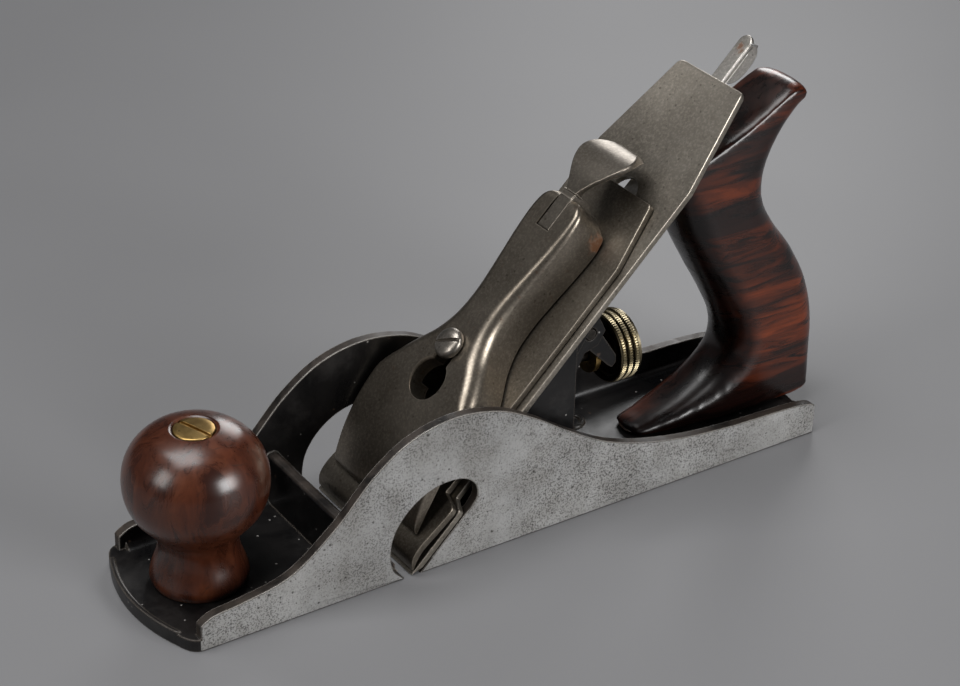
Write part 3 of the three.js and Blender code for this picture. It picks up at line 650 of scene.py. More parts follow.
# The tote's last value sets the painted shade on its faces that turn toward the toe.
tote_rosewood = rosewood("tote_rosewood", (9.0, 50.0, 70.0), (0.0, math.radians(-7), 0.0),
                         (0.003, 0.001, 0.0008), (0.018, 0.0036, 0.0017), (0.27, 0.047, 0.009), 1.0,
                         painted_front_shade=0.85)
print("finishes:", [m.name for m in bpy.data.materials])


# %% [markdown]
# ## The sole casting
# One iron casting makes the sole, both cheeks, the rib behind the knob and the seat for the frog. A founder
# pours it in one piece, so it is built here as one union: a plate cut to the plan, two cheeks sawn to
# their side outline, and fillets in the inside corners, where sand moulds never leave a sharp angle. Then
# the mouth and the two side openings are cut.

# %% Outlines of the casting
SOLE_TOP, WALL = 4.0, 3.2
INNER = HALF_WIDTH - WALL           # inside face of a cheek
IRON_T, SEAT_H = 2.0, -2.3          # the iron, and the frog's bed below its face
CORNER = {-1: (106.6, 21.0, 110.2), 1: (111.4, 23.5, 113.6)}  # side stops, end curve starts, corner between
END_RADIUS = {-1: 55.0, 1: 90.0}
cheek_top = curve_through([
    (-107.3, 8.3), (-104, 10.3), (-94, 11.6), (-79, 14.8), (-64.3, 25.5), (-51.3, 38.8), (-39.3, 46.6),
    (-24.5, 49.6), (-9.3, 46.9), (2.7, 40.7), (15.7, 32), (28.7, 24.3), (40.7, 19.7), (58, 15.6),
    (77, 13.5), (105, 12.1), (111, 10.9), (114, 8.4)])
opening = curve_through([
    (-41.4, 0.3), (-42.6, 1.6), (-44.4, 3.4), (-45.7, 6.4), (-46, 10.5), (-44.8, 16.2), (-41.2, 21.8),
    (-35.7, 26.1), (-30, 28.2), (-24.6, 28.4), (-20.2, 27.2), (-17.2, 24.2), (-16.6, 20.4), (-18.6, 17)])


def end_curve(side, inset=0.0):
    """The curved toe (-1) or heel (1), from one side to the other."""
    half = CORNER[side][1]
    around = np.linspace(-half, half, 41)
    radius = END_RADIUS[side]
    return [(side * (HALF_LENGTH - radius + math.sqrt((radius - inset) ** 2 - y * y)), side * y)
            for y in around]


def corner_curve(start, middle, end):
    return [tuple((1 - t) ** 2 * a + 2 * t * (1 - t) * b + t * t * c for a, b, c in zip(start, middle, end))
            for t in np.linspace(0, 1, 9)]


plan = []
for side in (1, -1):
    curve = end_curve(side)
    stop, bulge = side * CORNER[side][0], side * CORNER[side][2]
    low, high = (stop, -side * HALF_WIDTH), (stop, side * HALF_WIDTH)
    plan += corner_curve(low, (bulge, low[1]), curve[0]) + curve[1:-1]
    plan += corner_curve(curve[-1], (bulge, high[1]), high)


def bed_x(z, h):
    """Where the bed, moved off the iron's face by h, is at height z."""
    return EDGE_X + z - h / SLOPE


# %% [markdown]
# The rib is a thin cast wall whose back slopes down to the mouth. The narrow raised rims along the toe and
# the heel keep the plate's edge from chipping. The low round ring on the bed behind the frog stands for
# the foundry's raised mark, and has no meaning here.

# %% The casting
cheek = [(-107.3, 0), *cheek_top, (114.6, 3), (114.6, 0)]
rib = [(-58.3, 1), (-58.3, 20), (-57.6, 20.9), (-55.6, 21), (-54.6, 20.3), (-43.6, 5), (-42.2, 1)]
ramp = [(bed_x(0, SEAT_H), 0.5), (bed_x(7.2, SEAT_H), 7.2), (-22, 7.2), (-20, 6), (22.5, 6), (24.5, 1),
        (-20, 0.5)]
fillet = 3.0
hollow = [(INNER + 0.6, SOLE_TOP - 0.6), (INNER + 0.6, SOLE_TOP + fillet)]
hollow += [(INNER - fillet + fillet * math.cos(t), SOLE_TOP + fillet - fillet * math.sin(t))
           for t in np.linspace(0, math.pi / 2, 7)] + [(INNER - fillet, SOLE_TOP - 0.6)]
toe_rim = end_curve(-1, inset=-0.8) + end_curve(-1, inset=1.4)[::-1]
heel_rims = []
for side in (1, -1):
    keep = [i for i, (x, y) in enumerate(end_curve(1)) if side * y > 13.5]
    heel_rims.append([end_curve(1)[i] for i in keep] + [end_curve(1, inset=1.7)[i] for i in keep][::-1])

added = [blank(cheek, INNER, HALF_WIDTH, on_side), blank(rib, -INNER - 1, INNER + 1, on_side),
         blank(ramp, -INNER - 1, INNER + 1, on_side), blank(toe_rim, 3.5, 4.7, on_plan)]
added += [blank(rim, 3.5, 4.6, on_plan) for rim in heel_rims]
for side in (-1, 1):
    for start, stop in ((-105.2, -58), (25, 111)):
        added.append(blank([(side * y, z) for y, z in hollow], start, stop, lambda y, z, x: (x, y, z)))
ring = [(4.3, 4.5), (3.8, 4.85), (3.1, 4.9), (2.6, 4.5)]
added.append(turned([(0, 3.4), (4.3, 3.4), *ring, (2.6, 3.4), (0, 3.4)],
                    lambda u, v, w: (46 + u, 13 + v, w), 40))
mouth = [(-41.4, -1), (-41.4, 0.3), (-42.4, 1.6), (-43, 8), (bed_x(8, SEAT_H), 8), (bed_x(-1, SEAT_H), -1)]
window = [(bed_x(-1, SEAT_H), -1), (-41.4, -1), *opening, (bed_x(15, SEAT_H), 15)]
casting = worked(blank(cheek, -HALF_WIDTH, -INNER, on_side),
                 add=[blank(plan, 0, SOLE_TOP, on_plan), *added],
                 keep=[blank(plan, -1, 60, on_plan)],
                 cut=[blank(mouth, -HALF_WIDTH - 1, HALF_WIDTH + 1, on_side),
                      blank(window, -HALF_WIDTH - 1, -INNER + 0.02, on_side),
                      blank(window, INNER - 0.02, HALF_WIDTH + 1, on_side)])
softened(casting, 0.35, 2, 30)


def casting_finish(face):
    """0 ground outside, 1 japanning inside, 2 the bare top edges of the cheeks and the side openings."""
    normal, centre = face.normal, face.center / MM
    if abs(normal.y) > 0.96 and abs(centre.y) > HALF_WIDTH - 0.1 or normal.z < -0.9 and centre.z < 0.1:
        return 0
    if centre.x > CORNER[1][0] and abs(centre.y) > 14 and abs(normal.z) < 0.3 and abs(centre.y) > INNER - 4:
        return 0
    if abs(centre.y) > INNER - 0.2 and centre.z > SOLE_TOP + 1 and abs(centre.x) < 112:
        return 1 if abs(normal.y) > 0.96 else 2
    on_rib = abs(centre.y) < INNER and -58.5 < centre.x < -42
    if on_rib and (centre.z > 20.4 or normal.x > 0.4 and centre.z > 5):
        return 2
    return 1


hand_over(shaded(casting), "sole_casting_skin", "body", "ground_iron", [ground_iron, japanning, arris_iron],
          ["sole_casting"], casting_finish)

# %% [markdown]
# ## The knob
# The front knob is turned from rosewood: a ball on a short waist with a spreading foot, and a counterbore
# in its top that the brass nut sits in. A lathe profile describes it completely, so `turned` makes it.

# %% The knob
low, high = (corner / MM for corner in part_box("front_knob"))
KNOB_X, KNOB_TOP = (low.x + high.x) / 2, high.z
NUT_R = (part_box("knob_nut")[1].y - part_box("knob_nut")[0].y) / MM / 2
knob_side = curve_through([(13.6, 4.4), (14.35, 6.4), (13.5, 10), (12.1, 14), (11.7, 17.5), (12.6, 21),
                           (15.2, 24.2), (18.6, 28.4), (20.4, 33), (20.9, 38), (20.1, 43.2), (17.6, 48),
                           (13.6, 51.8), (9.6, 53.5), (7.4, KNOB_TOP - 0.05)], 1.0)
bore = NUT_R + 0.3
knob_profile = [(0, 4.3), (13.2, 4.3), *knob_side, (bore + 0.5, KNOB_TOP), (bore, KNOB_TOP - 0.4),
                (bore, KNOB_TOP - 1.7), (0, KNOB_TOP - 1.7)]
knob = turned(knob_profile, lambda u, v, w: (KNOB_X + u, v, w), 96)
hand_over(shaded(knob, 50), "front_knob_turned", "body", "rosewood", [knob_rosewood], ["front_knob"])

# %% [markdown]
# The slotted nut is a brass disc with a barrel below it. The one in the tote is the same nut, tilted with
# the handle's rod, so one function makes both and takes the place and the turn of the slot.


# %% The slotted nuts
def slotted_nut(turn_slot, place):
    """The nut with its head's underside at height 0 on its own axis."""
    spin = Matrix.Rotation(math.radians(turn_slot), 3, "Z")

    def turned_place(a, b, t):
        return place(*(spin @ Vector((a, b, t))))

    head = turned([(0, -1.4), (NUT_R, -1.4), (NUT_R, -0.25), (NUT_R - 0.3, 0.02), (NUT_R - 1.6, 0.14),
                   (0, 0.18)], turned_place, 64)
    barrel = rod(4.1, (0, 0), -11.9, -1.2, turned_place)
    return worked(head, add=[barrel], cut=[block((-7, 7), (-0.62, 0.62), (-0.75, 1), turned_place)])


ROD_FOOT, ROD_HEAD = Vector((106, 0, 1.9)), Vector((77.4, 0, 100.2))
ROD_UP = (ROD_HEAD - ROD_FOOT).normalized()
ROD_SIDE = Vector((0, 1, 0)).cross(ROD_UP)


def on_rod(a, b, t):
    """A point on the handle's rod: t above its head, a and b across it."""
    return ROD_HEAD + ROD_UP * t + ROD_SIDE * a + Vector((0, b, 0))


for name, turn_slot, place in (("knob_nut", -70, lambda a, b, t: (KNOB_X + a, b, KNOB_TOP + t)),
                               ("tote_nut", 20, on_rod)):
    nut = shaded(softened(slotted_nut(turn_slot, place), 0.12, 2, 40), 50)
    hand_over(nut, name + "_brass", "body", "brass", [nut_brass], [name])

# %% [markdown]
# ## The tote
# The rear handle is sawn from a board and then rounded over by hand: fully round where the hand goes round
# it, flat under the foot, and with a flat glossy top at the horn that meets the sides at a crisp edge. An
# extrusion with a bevel can't change its rounding along the outline. So the side outline is filled with
# points, and each is lifted to the thickness that its distance from the outline allows, like blowing up a
# balloon of that shape with a chosen radius at each part of its edge.

# %% The tote
TOTE_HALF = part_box("tote")[1].y / MM
FOOT_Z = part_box("tote")[0].z / MM
# Outline points with the rounding there: from the heel up the back, over the horn, and down to the toe.
TOTE_EDGE = [
    (122.4, 4.3, 1), (125.3, 9, 5), (126.5, 20, 7.5), (125.8, 33, 8), (122, 46, 8), (115.2, 58, 8),
    (106.4, 69.5, 8), (101.2, 79.5, 8), (100.8, 88.5, 8), (104.8, 98, 7.5), (110, 105, 6.5),
    (114, 109.8, 4.5), (113, 113.7, 2.2), (108, 115.2, 1.5), (101, 112, 1.3), (90, 106.2, 1.3),
    (76, 100.4, 1.3), (67, 97.4, 1.8), (62.6, 94, 4), (62.6, 89.6, 7.5), (66.6, 80.6, 9), (71.6, 69, 9),
    (78.6, 56.6, 9), (86.4, 43.4, 9), (91.2, 33, 9), (91.6, 25.4, 8.5), (87, 19.4, 7), (78, 14, 5),
    (66, 9.6, 3.6), (57.4, 7.2, 2.4), (56.2, 5.4, 1.3), (56.4, 4.3, 0.9)]
tote_curve = curve_through(TOTE_EDGE, 1.1)
tote_side, tote_rounding = [q[:2] for q in tote_curve], [max(0.9, q[2]) for q in tote_curve]
base_count = 40                     # points along the flat foot, which closes the outline
foot = [(x, FOOT_Z) for x in np.linspace(56.4, 121.5, base_count + 2)[1:-1]]
tote_side, tote_rounding = tote_side + foot, tote_rounding + [0.9] * base_count
edge = np.array(tote_side)
radius_at_edge = np.array(tote_rounding)
after, before = np.roll(edge, -1, 0), np.roll(edge, 1, 0)
along = (after - before) / np.linalg.norm(after - before, axis=1)[:, None]
turning = np.sign(np.sum(edge[:, 0] * after[:, 1] - after[:, 0] * edge[:, 1]))
inward = np.column_stack([-along[:, 1], along[:, 0]]) * turning


def depth_inside(points):
    """How far each point lies inside the outline, and the rounding radius nearest to it."""
    found, radii = [], []
    span = after - edge
    for q in points:
        t = np.clip(np.sum((q - edge) * span, axis=1) / np.sum(span * span, axis=1), 0, 1)
        away = np.linalg.norm(edge + t[:, None] * span - q, axis=1)
        nearest = 1 / (away ** 2 + 0.02) ** 2
        found.append(away.min())
        radii.append(float((nearest * radius_at_edge).sum() / nearest.sum()))
    return np.array(found), np.array(radii)


def half_thickness(x, z):
    """Half the board's thickness: thinner toward the foot's toe and the horn's tip."""
    toe = np.clip((x - 56) / 34, 0, 1)
    thin = np.where(z < 30, 6.2 + (TOTE_HALF - 6.2) * toe ** 0.8, TOTE_HALF)
    return thin - 1.6 * np.clip((z - 92) / 24, 0, 1)


inner_points = []
for angle in (14, 26, 38, 50, 62, 76, 90):
    inset = radius_at_edge * (1 - math.cos(math.radians(angle)))
    ring = edge + inward * inset[:, None]
    away, _ = depth_inside(ring)
    inner_points += [tuple(q) for q, have, want in zip(ring, away, inset) if have > 0.97 * want
                     and want > 0.1]
grid = [(x, z) for x in np.arange(57, 125, 2.0) for z in np.arange(5.5, 116, 2.0)]
outline_vectors = [Vector(q) for q in tote_side]


def inside(q):
    x, z = edge[:, 0], edge[:, 1]
    crosses = ((z > q[1]) != (after[:, 1] > q[1])) & (
        q[0] < (after[:, 0] - x) * (q[1] - z) / (after[:, 1] - z + 1e-12) + x)
    return crosses.sum() % 2 == 1


grid = [q for q in grid if inside(q)]
away, radii = depth_inside([np.array(q) for q in grid])
inner_points += [q for q, have, radius in zip(grid, away, radii) if have > min(radius, 9) * 0.9 + 0.6]
kept, taken = [], set()
for q in inner_points:
    cell = (round(q[0] / 0.2), round(q[1] / 0.2))
    if cell not in taken and inside(q):
        taken.add(cell)
        kept.append(q)
flat = [*outline_vectors, *[Vector(q) for q in kept]]
points_out, _, faces_out, *_ = geometry.delaunay_2d_cdt(flat, [], [list(range(len(outline_vectors)))], 1,
                                                        1e-5)
flat_points = np.array([tuple(p) for p in points_out])
away, radii = depth_inside(flat_points)
share = np.clip(away / np.maximum(radii, 0.3), 0, 1)
lift = half_thickness(flat_points[:, 0], flat_points[:, 1]) * np.sqrt(1 - (1 - share) ** 2)
lift[away < 1e-4] = 0
n = len(flat_points)
both = [(x, side * y, z) for side in (-1, 1) for (x, z), y in zip(flat_points, lift)]
tote = new_object(both, [*[list(f) for f in faces_out], *[[n + i for i in reversed(f)] for f in faces_out]])
relax = tote.modifiers.new("relaxed", "SMOOTH")
relax.factor, relax.iterations = 0.5, 8
tote = worked(settled(tote), cut=[rod(NUT_R + 0.3, (0, 0), -1.7, 12, on_rod)])
hand_over(shaded(tote, 55), "tote_carved", "body", "rosewood", [tote_rosewood], ["tote"])

# %% [markdown]
# ## The depth wheel
# The brass wheel that feeds the iron has three ridges, each milled with fine teeth so that a finger can
# turn it. The body is a turned profile. The teeth repeat by a rule, so Geometry Nodes place them: a line of
# rings, one per ridge, and on each point of each ring a small four-sided bar turned to face outwards. The
# tree's inputs name its sizes, and the result is made real and joined to the wheel.

# %% The wheel's body
low, high = (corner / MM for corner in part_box("depth_wheel"))
WHEEL_R = high.y
pitch = (high.x - low.x - 0.4) / 3


def on_stud(u, v, w):
    """The stud's own directions: w runs along it toward the heel."""
    return (w, u, STUD_Z + v)


front, back, valley, rim_r = low.x, high.x, WHEEL_R - 1.0, WHEEL_R - 2.0
wheel_profile = [(0, front + 1.6), (4.3, front + 1.6), (4.4, front + 0.9), (6.2, front + 0.9),
                 (6.5, front + 1.5), (rim_r - 0.4, front + 1.5), (rim_r, front + 1.1), (rim_r + 0.2, front),
                 (WHEEL_R - 0.6, front)]
ridge_middles = []
for i in range(3):
    start = front + 0.2 + i * pitch
    ridge_middles.append(start + pitch / 2 - 0.3)
    wheel_profile += [(WHEEL_R - 0.45, start + 0.2), (WHEEL_R - 0.22, start + 0.5),
                      (WHEEL_R - 0.22, start + pitch - 1.1), (WHEEL_R - 0.45, start + pitch - 0.8)]
    if i < 2:
        wheel_profile += [(valley, start + pitch - 0.65), (valley, start + pitch - 0.15)]
wheel_profile += [(WHEEL_R - 0.5, back), (rim_r, back), (rim_r - 0.3, back - 2.2), (6.4, back - 2.4),
                  (6.2, back - 0.6), (4.3, back - 0.6), (4.2, back - 2), (0, back - 2)]
wheel = turned(wheel_profile, on_stud, 96)
wheel.data.materials.append(wheel_brass)

# %% Geometry Nodes: the milled teeth
tree = bpy.data.node_groups.new("milled_teeth", "GeometryNodeTree")
tree.interface.new_socket("Geometry", in_out="INPUT", socket_type="NodeSocketGeometry")
tree.interface.new_socket("Geometry", in_out="OUTPUT", socket_type="NodeSocketGeometry")
TEETH_INPUTS = {"Teeth": ("NodeSocketInt", 84), "Ridges": ("NodeSocketInt", 3),
                "First Ridge": ("NodeSocketVector", (ridge_middles[0] * MM, 0.0, STUD_Z * MM)),
                "Ridge Spacing": ("NodeSocketVector", (pitch * MM, 0.0, 0.0)),
                "Ring Radius": ("NodeSocketFloat", (WHEEL_R - 0.33) * MM),
                "Tooth Radius": ("NodeSocketFloat", 0.31 * MM),
                "Tooth Length": ("NodeSocketFloat", 1.35 * MM),
                "Finish": ("NodeSocketMaterial", wheel_brass)}
sockets = {label: tree.interface.new_socket(label, in_out="INPUT", socket_type=kind)
           for label, (kind, _) in TEETH_INPUTS.items()}
g = Wiring(tree)
given = g.node("NodeGroupInput").outputs
end = g.node("NodeGroupOutput")
ridge_line = g.node("GeometryNodeMeshLine",
                    {"Count": given["Ridges"], "Start Location": given["First Ridge"],
                     "Offset": given["Ridge Spacing"]}).outputs[0]
ring_flat = g.node("GeometryNodeMeshCircle",
                   {"Vertices": given["Teeth"], "Radius": given["Ring Radius"]}).outputs[0]
ring = g.node("GeometryNodeTransform",
              {"Geometry": ring_flat, "Rotation": (0.0, math.pi / 2, 0.0)}).outputs[0]
rings = g.node("GeometryNodeInstanceOnPoints", {"Points": ridge_line, "Instance": ring}).outputs[0]
ring_points = g.node("GeometryNodeRealizeInstances", {"Geometry": rings}).outputs[0]
bar = g.node("GeometryNodeMeshCylinder", {"Vertices": 4, "Radius": given["Tooth Radius"],
                                          "Depth": given["Tooth Length"]}).outputs["Mesh"]
bar = g.node("GeometryNodeTransform", {"Geometry": bar, "Rotation": (0.0, math.pi / 2, 0.0)}).outputs[0]
step = g.sum("DIVIDE", 2 * math.pi, given["Teeth"])
turn = g.node("ShaderNodeCombineXYZ",
              {0: g.sum("MULTIPLY", g.node("GeometryNodeInputIndex").outputs[0], step)})
teeth = g.node("GeometryNodeInstanceOnPoints", {"Points": ring_points, "Instance": bar,
                                                "Rotation": turn.outputs[0]}).outputs[0]
joined = g.node("GeometryNodeJoinGeometry")
tree.links.new(g.node("GeometryNodeRealizeInstances", {"Geometry": teeth}).outputs[0], joined.inputs[0])
tree.links.new(given["Geometry"], joined.inputs[0])
made = g.node("GeometryNodeSetMaterial",
              {"Geometry": joined.outputs[0], "Material": given["Finish"]}).outputs[0]
tree.links.new(made, end.inputs[0])

milling = wheel.modifiers.new("milled teeth", "NODES")
milling.node_group = tree
for label, (kind, value) in TEETH_INPUTS.items():
    milling[sockets[label].identifier] = value
wheel = settled(wheel)
hand_over(shaded(wheel, 32), "depth_wheel_milled", "depth_knob", "brass", [wheel_brass], ["depth_wheel"])

# %% [markdown]
# ## The irons
# The cutting iron is a flat steel plate, wide at its foot so that it reaches through both side openings.
# Above the foot it is narrower, and it tapers to its round-cornered top. The cap iron lies on it with a
# springy hump near the edge. Both are sawn in plan and then cut to their side section.

# %% The cutting iron
def slot_outline(start, stop, half):
    """A long hole with round ends."""
    return arc((stop - half, 0), half, -90, 90) + arc((start + half, 0), half, 90, 270)


iron_half = [(-1, -26.8), (22.8, -26.8), (24, -26.4), (24.5, -25.4), (26.1, -22.3), (137.6, -22.3),
             (169.4, -15.2)]
iron_half += [(170.7, -14.7), (171.6, -13.9), (172, -12.9)]
iron_section = [(0.35, 0), (180, 0), (180, -IRON_T), (4.2, -IRON_T)]
iron = worked(blank(mirrored(iron_half), -5, 5, on_bed), keep=[blank(iron_section, -40, 40, on_bed_side)],
              cut=[blank(slot_outline(42, 132.6, 5.5), -6, 6, on_bed)])
hand_over(shaded(softened(iron, 0.28, 2)), "cutting_iron_ground", "cutter", "blade_steel", [blade_steel],
          ["cutting_iron"])

# %% The cap iron
cap_half = [(-1, -26.8), (22.2, -26.8), (23.4, -26.4), (23.9, -25.4), (25.5, -20), (107, -20),
            (127.2, -15.5), (128.1, -15), (128.4, -14.2)]
hump = curve_through([(1.7, 0.9), (4, 3.2), (8, 4.1), (14, 3.6), (24, 2.7), (34, 2.3)]) + [(129, 2.3)]
under = [(129, 0.3), (34, 0.3)]
under += curve_through([(34, 0.3), (24, 0.6), (14, 1.5), (8, 2), (4.4, 1.3), (1.9, 0.3)])
cap_iron = worked(blank(mirrored(cap_half), -5, 8, on_bed),
                  keep=[blank([*hump, under[0], *under[2:]], -40, 40, on_bed_side)],
                  cut=[blank(slot_outline(52, 67, 5), -6, 9, on_bed), rod(3.9, (74, 0), -1, 4, on_bed),
                       block((85.6, 90.4), (-3.4, 3.4), (-1, 4), on_bed)])
hand_over(shaded(softened(cap_iron, 0.28, 2)), "cap_iron_pressed", "cutter", "blade_steel",
          [cap_iron_steel], ["cap_iron"])

# %% [markdown]
# ## The lever cap
# The lever cap is the polished casting that clamps the irons. Its wide blade turns down to the cap iron's
# hump, then it narrows to a long neck with steep sides. The keyhole slips over the screw's head. The top
# meets the flanks in a broad polished rounding, which is the brightest line on the tool. Its radius changes
# along the piece, so the cap is lofted: a section across it is worked out at each station and the stations
# are joined.

# %% The lever cap's blank
cap_plan = [(10.9, 22.8), (20, 22.8), (28, 22.8), (36, 22.8), (44, 22.2), (50.5, 19.6), (56, 16.4),
            (63, 11.8), (70, 9), (78, 8.1), (88, 8.7), (100, 9.9), (108, 10.1), (112.6, 9.2), (115, 7),
            (116, 4)]
cap_crown = [(10.9, 5.4), (11.4, 6.3), (19.7, 11), (28.6, 14.2), (38.2, 16.2), (48, 17.3), (56, 17.5),
             (70, 17.5), (90, 17.5), (110, 17.5), (114, 17.2), (116, 16.2)]
cap_under = [(10.9, 4.4), (18, 6.6), (28, 9.4), (38, 10.6), (49, 7.4), (52, 3.1), (108, 3.1), (112, 3.6),
             (116, 9.5)]
cap_rounding = [(10.9, 0.6), (30, 1.2), (42, 2.2), (50, 5.0), (60, 5.4), (72, 4.0), (90, 2.8), (105, 2.2),
                (112, 1.8), (116, 1.2)]
plan_curve, crown_curve = (curve_through(points, 0.7) for points in (cap_plan, cap_crown))


def along_cap(points, s):
    return float(np.interp(s, [p[0] for p in points], [p[1] for p in points]))


def cap_section(s):
    """The cap's outline across the bed at s: flank, rounding, crown and back, as (y, h)."""
    half, crown = along_cap(plan_curve, s), along_cap(crown_curve, s)
    under_h = along_cap(cap_under, s)
    r = min(along_cap(cap_rounding, s), (crown - under_h) * 0.8, half * 0.7)
    right_side = [(half, under_h), (half, (under_h + crown - r) / 2)]
    right_side += [(half - r + r * math.cos(t), crown - r + r * math.sin(t))
                   for t in np.linspace(0, math.pi / 2, 9)]
    return [*right_side, *[(-y, h) for y, h in right_side[::-1]]]


stations = [*np.arange(10.9, 108, 0.9), *np.arange(108, 116, 0.5), 116]
sections = [cap_section(s) for s in stations]
per = len(sections[0])
cap_points = [on_bed(s, y, h) for s, section in zip(stations, sections) for y, h in section]
cap_faces = [[k * per + i, k * per + (i + 1) % per, (k + 1) * per + (i + 1) % per, (k + 1) * per + i]
             for k in range(len(stations) - 1) for i in range(per)]
last = (len(stations) - 1) * per
cap = new_object(cap_points, [*cap_faces, list(range(per)), list(range(last, last + per))])
print("cap stations:", len(stations))

# %% The lever cap's hollow, keyhole and pocket
CAM_S, CAM_H, CAM_R = 110, 12, 7.8
rim = 3.0
KEYHOLE_STEPS = ((0.0, 0), (0.1, 16.75), (0.25, 17.05), (0.5, 17.3))    # (flare, from which height)


def keyhole(big, small):
    """The keyhole: a round hole of radius big with a slot of half-width small running up the bed."""
    meet = math.asin(small / big)
    head = [(48.5 + big * math.cos(t), big * math.sin(t))
            for t in np.linspace(meet, 2 * math.pi - meet, 61)]
    tail = [(64.2 - 3.4 + small * math.cos(t), small * math.sin(t))
            for t in np.linspace(-math.pi / 2, math.pi / 2, 25)]
    return head + tail


inside_line = [(s, min(rim - y, 0)) for s, y in plan_curve if 51 < s < 104]
cap = worked(cap, cut=[
    blank(mirrored([(46, -14), *inside_line, (104, -6.8)]), -2, 12, on_bed),
    *[blank(keyhole(6.7 + flare, 3.4 + flare), depth, 30, on_bed) for flare, depth in KEYHOLE_STEPS],
    rod(CAM_R + 0.4, (CAM_S, CAM_H), -3.0, 3.0, on_bed_side, 64),
    block((CAM_S, 120), (-3.0, 3.0), (0, 30), on_bed),
    block((100, 120), (-5, 5), (2, 4.1), on_bed)])
hand_over(shaded(cap, 38), "lever_cap_polished", "lever_cap_unit", "cap_steel", [cap_steel],
          ["lever_cap"])

# %% [markdown]
# ## The cam and the lever cap screw
# The cam is a round tang in the cap's pocket that grows into a thumb leaf. The leaf widens as it rises and
# curls over at its end. It is cut from a curved side section and a leaf-shaped plan. The screw's head is a
# low dome with a driver slot.

# %% The cam leaf
flat_h = 17.3
tang = worked(rod(CAM_R, (CAM_S, CAM_H), -2.8, 2.8, on_bed_side, 64),
              add=[blank([(CAM_S, CAM_H), (117.4, CAM_H), (117.4, flat_h), (CAM_S, flat_h)], -2.8, 2.8,
                         on_bed_side)],
              cut=[block((90, 130), (-4, 4), (flat_h, 30), on_bed)])
leaf_top = curve_through([(115.6, 16.9), (119, 17.2), (124, 17.2), (129, 16.2), (133.6, 13.9), (137, 10.4),
                          (138.6, 6.6)], 0.8)
leaf_under = curve_through([(137.1, 6.2), (135.6, 9.4), (132.6, 12.4), (128.4, 14.5), (123.8, 15.5),
                            (119.6, 15.4), (116.4, 13.4)], 0.8)
leaf_half = curve_through([(115, -2.6), (116.4, -2.6), (117.8, -2.7), (119.4, -3.5), (122, -5.2),
                           (127, -8.6), (131, -10.3), (134, -10), (136.3, -8), (137.8, -4.6),
                           (138.2, -0.6)], 0.9)
leaf = worked(blank([*leaf_top, *leaf_under], -20, 20, on_bed_side),
              keep=[blank(mirrored(leaf_half), 4, 24, on_bed)])
cam = worked(leaf, add=[tang])
hand_over(shaded(softened(cam, 0.4, 3, 36), 40), "cam_leaf", "cam", "cap_steel", [cam_steel], ["cam_lever"])

# %% The lever cap screw
SCREW_S, SLOT_TURN = 60.6, -57
spin = Matrix.Rotation(math.radians(SLOT_TURN), 3, "Z")


def on_screw(a, b, t):
    across = spin @ Vector((a, b, 0))
    return on_bed(SCREW_S + across.x, across.y, t)


dome = curve_through([(4.8, 19.0), (4.7, 19.6), (4.1, 20.3), (2.4, 20.9), (0.4, 21)], 0.5)
screw = worked(turned([(0, 17.9), (4.5, 17.9), (4.8, 18.2), *dome, (0, 21)], on_screw, 64),
               add=[rod(2.6, (0, 0), -12.2, 18.4, on_screw)],
               cut=[block((-7, 7), (-0.55, 0.55), (19.7, 22), on_screw)])
hand_over(shaded(softened(screw, 0.12, 2, 40), 50), "lever_cap_screw_slotted", "frog_unit", "steel",
          [screw_steel], ["lever_cap_screw"])

# %% [markdown]
# ## The lateral lever
# A strip of steel lies under the iron, and its upper end is folded at right angles into a thumb tab. In the
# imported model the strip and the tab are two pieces. Here the fold is one piece of bent plate with a rounded
# corner, as it was pressed.

# %% The lateral lever with its folded tab
LEVER_TOP, LEVER_T = -2.6, 1.5
strip_half = [(94.8, -1.4), (96.6, -4.4), (101, -6.2), (110, -6.2), (115, -4.6), (123, -3.4), (169, -2.65)]
tip = arc((184.9, 0), 2.65, -90, 0, 8)
tab = [(171.6, LEVER_TOP - 0.4), (185.2, LEVER_TOP - 0.4),
       *curve_through([(186.4, -4.6), (185.2, -7.2), (182.6, -8.35), (176.5, -8.3), (173, -6.6),
                       (171.6, -4.4)], 0.7)]
strip_outline = mirrored([*curve_through(strip_half[:6], 1.5), *strip_half[6:], *tip])
lever = worked(blank(strip_outline, LEVER_TOP - LEVER_T, LEVER_TOP, on_bed),
               add=[blank(tab, -2.62, -1.25, on_bed_side)],
               cut=[rod(2.4, (109, 0), -9, 0, on_bed), rod(1.9, (101, 0), -9, 0, on_bed)])
hand_over(shaded(softened(lever, 0.42, 3, 34)), "lateral_lever_folded", "lateral", "steel", [lever_steel],
          ["lateral_lever", "thumb_tab"])

# %% [markdown]
# ## The frog and the small fittings
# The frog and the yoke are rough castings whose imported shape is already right. What they lack is soft
# edges, so a merged copy gets its edges rounded and its japanning. The pins, rods, washers and the spring
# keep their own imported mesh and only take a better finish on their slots.

# %% Castings that only need soft edges
for node, body, slot, finish, width in (("frog", "frog_unit", "japanned_iron", frog_japanning, 0.4),
                                        ("yoke", "yoke_lever", "japanned_iron", frog_japanning, 0.25),
                                        ("depth_hub", "depth_carrier", "brass", nut_brass, 0.15),
                                        ("cap_iron_screw", "feed_screw", "steel", screw_steel, 0.2)):
    hand_over(shaded(softened(copy_of(node), width, 2, 36)), node + "_finished", body, slot, [finish],
              [node])

# %% Small fittings keep their mesh
for node in ("knob_rod", "tote_rod", "frog_screw_left", "frog_screw_right", "frog_washer_left",
             "frog_washer_right", "depth_stud", "yoke_pin", "lateral_rivet", "lateral_disc", "cap_spring",
             "spring_rivet", "cam_pin"):
    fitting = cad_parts[node]
    finish = black_steel if node in ("depth_stud", "yoke_pin") else screw_steel
    for k in range(len(fitting.material_slots)):
        fitting.material_slots[k].material = finish

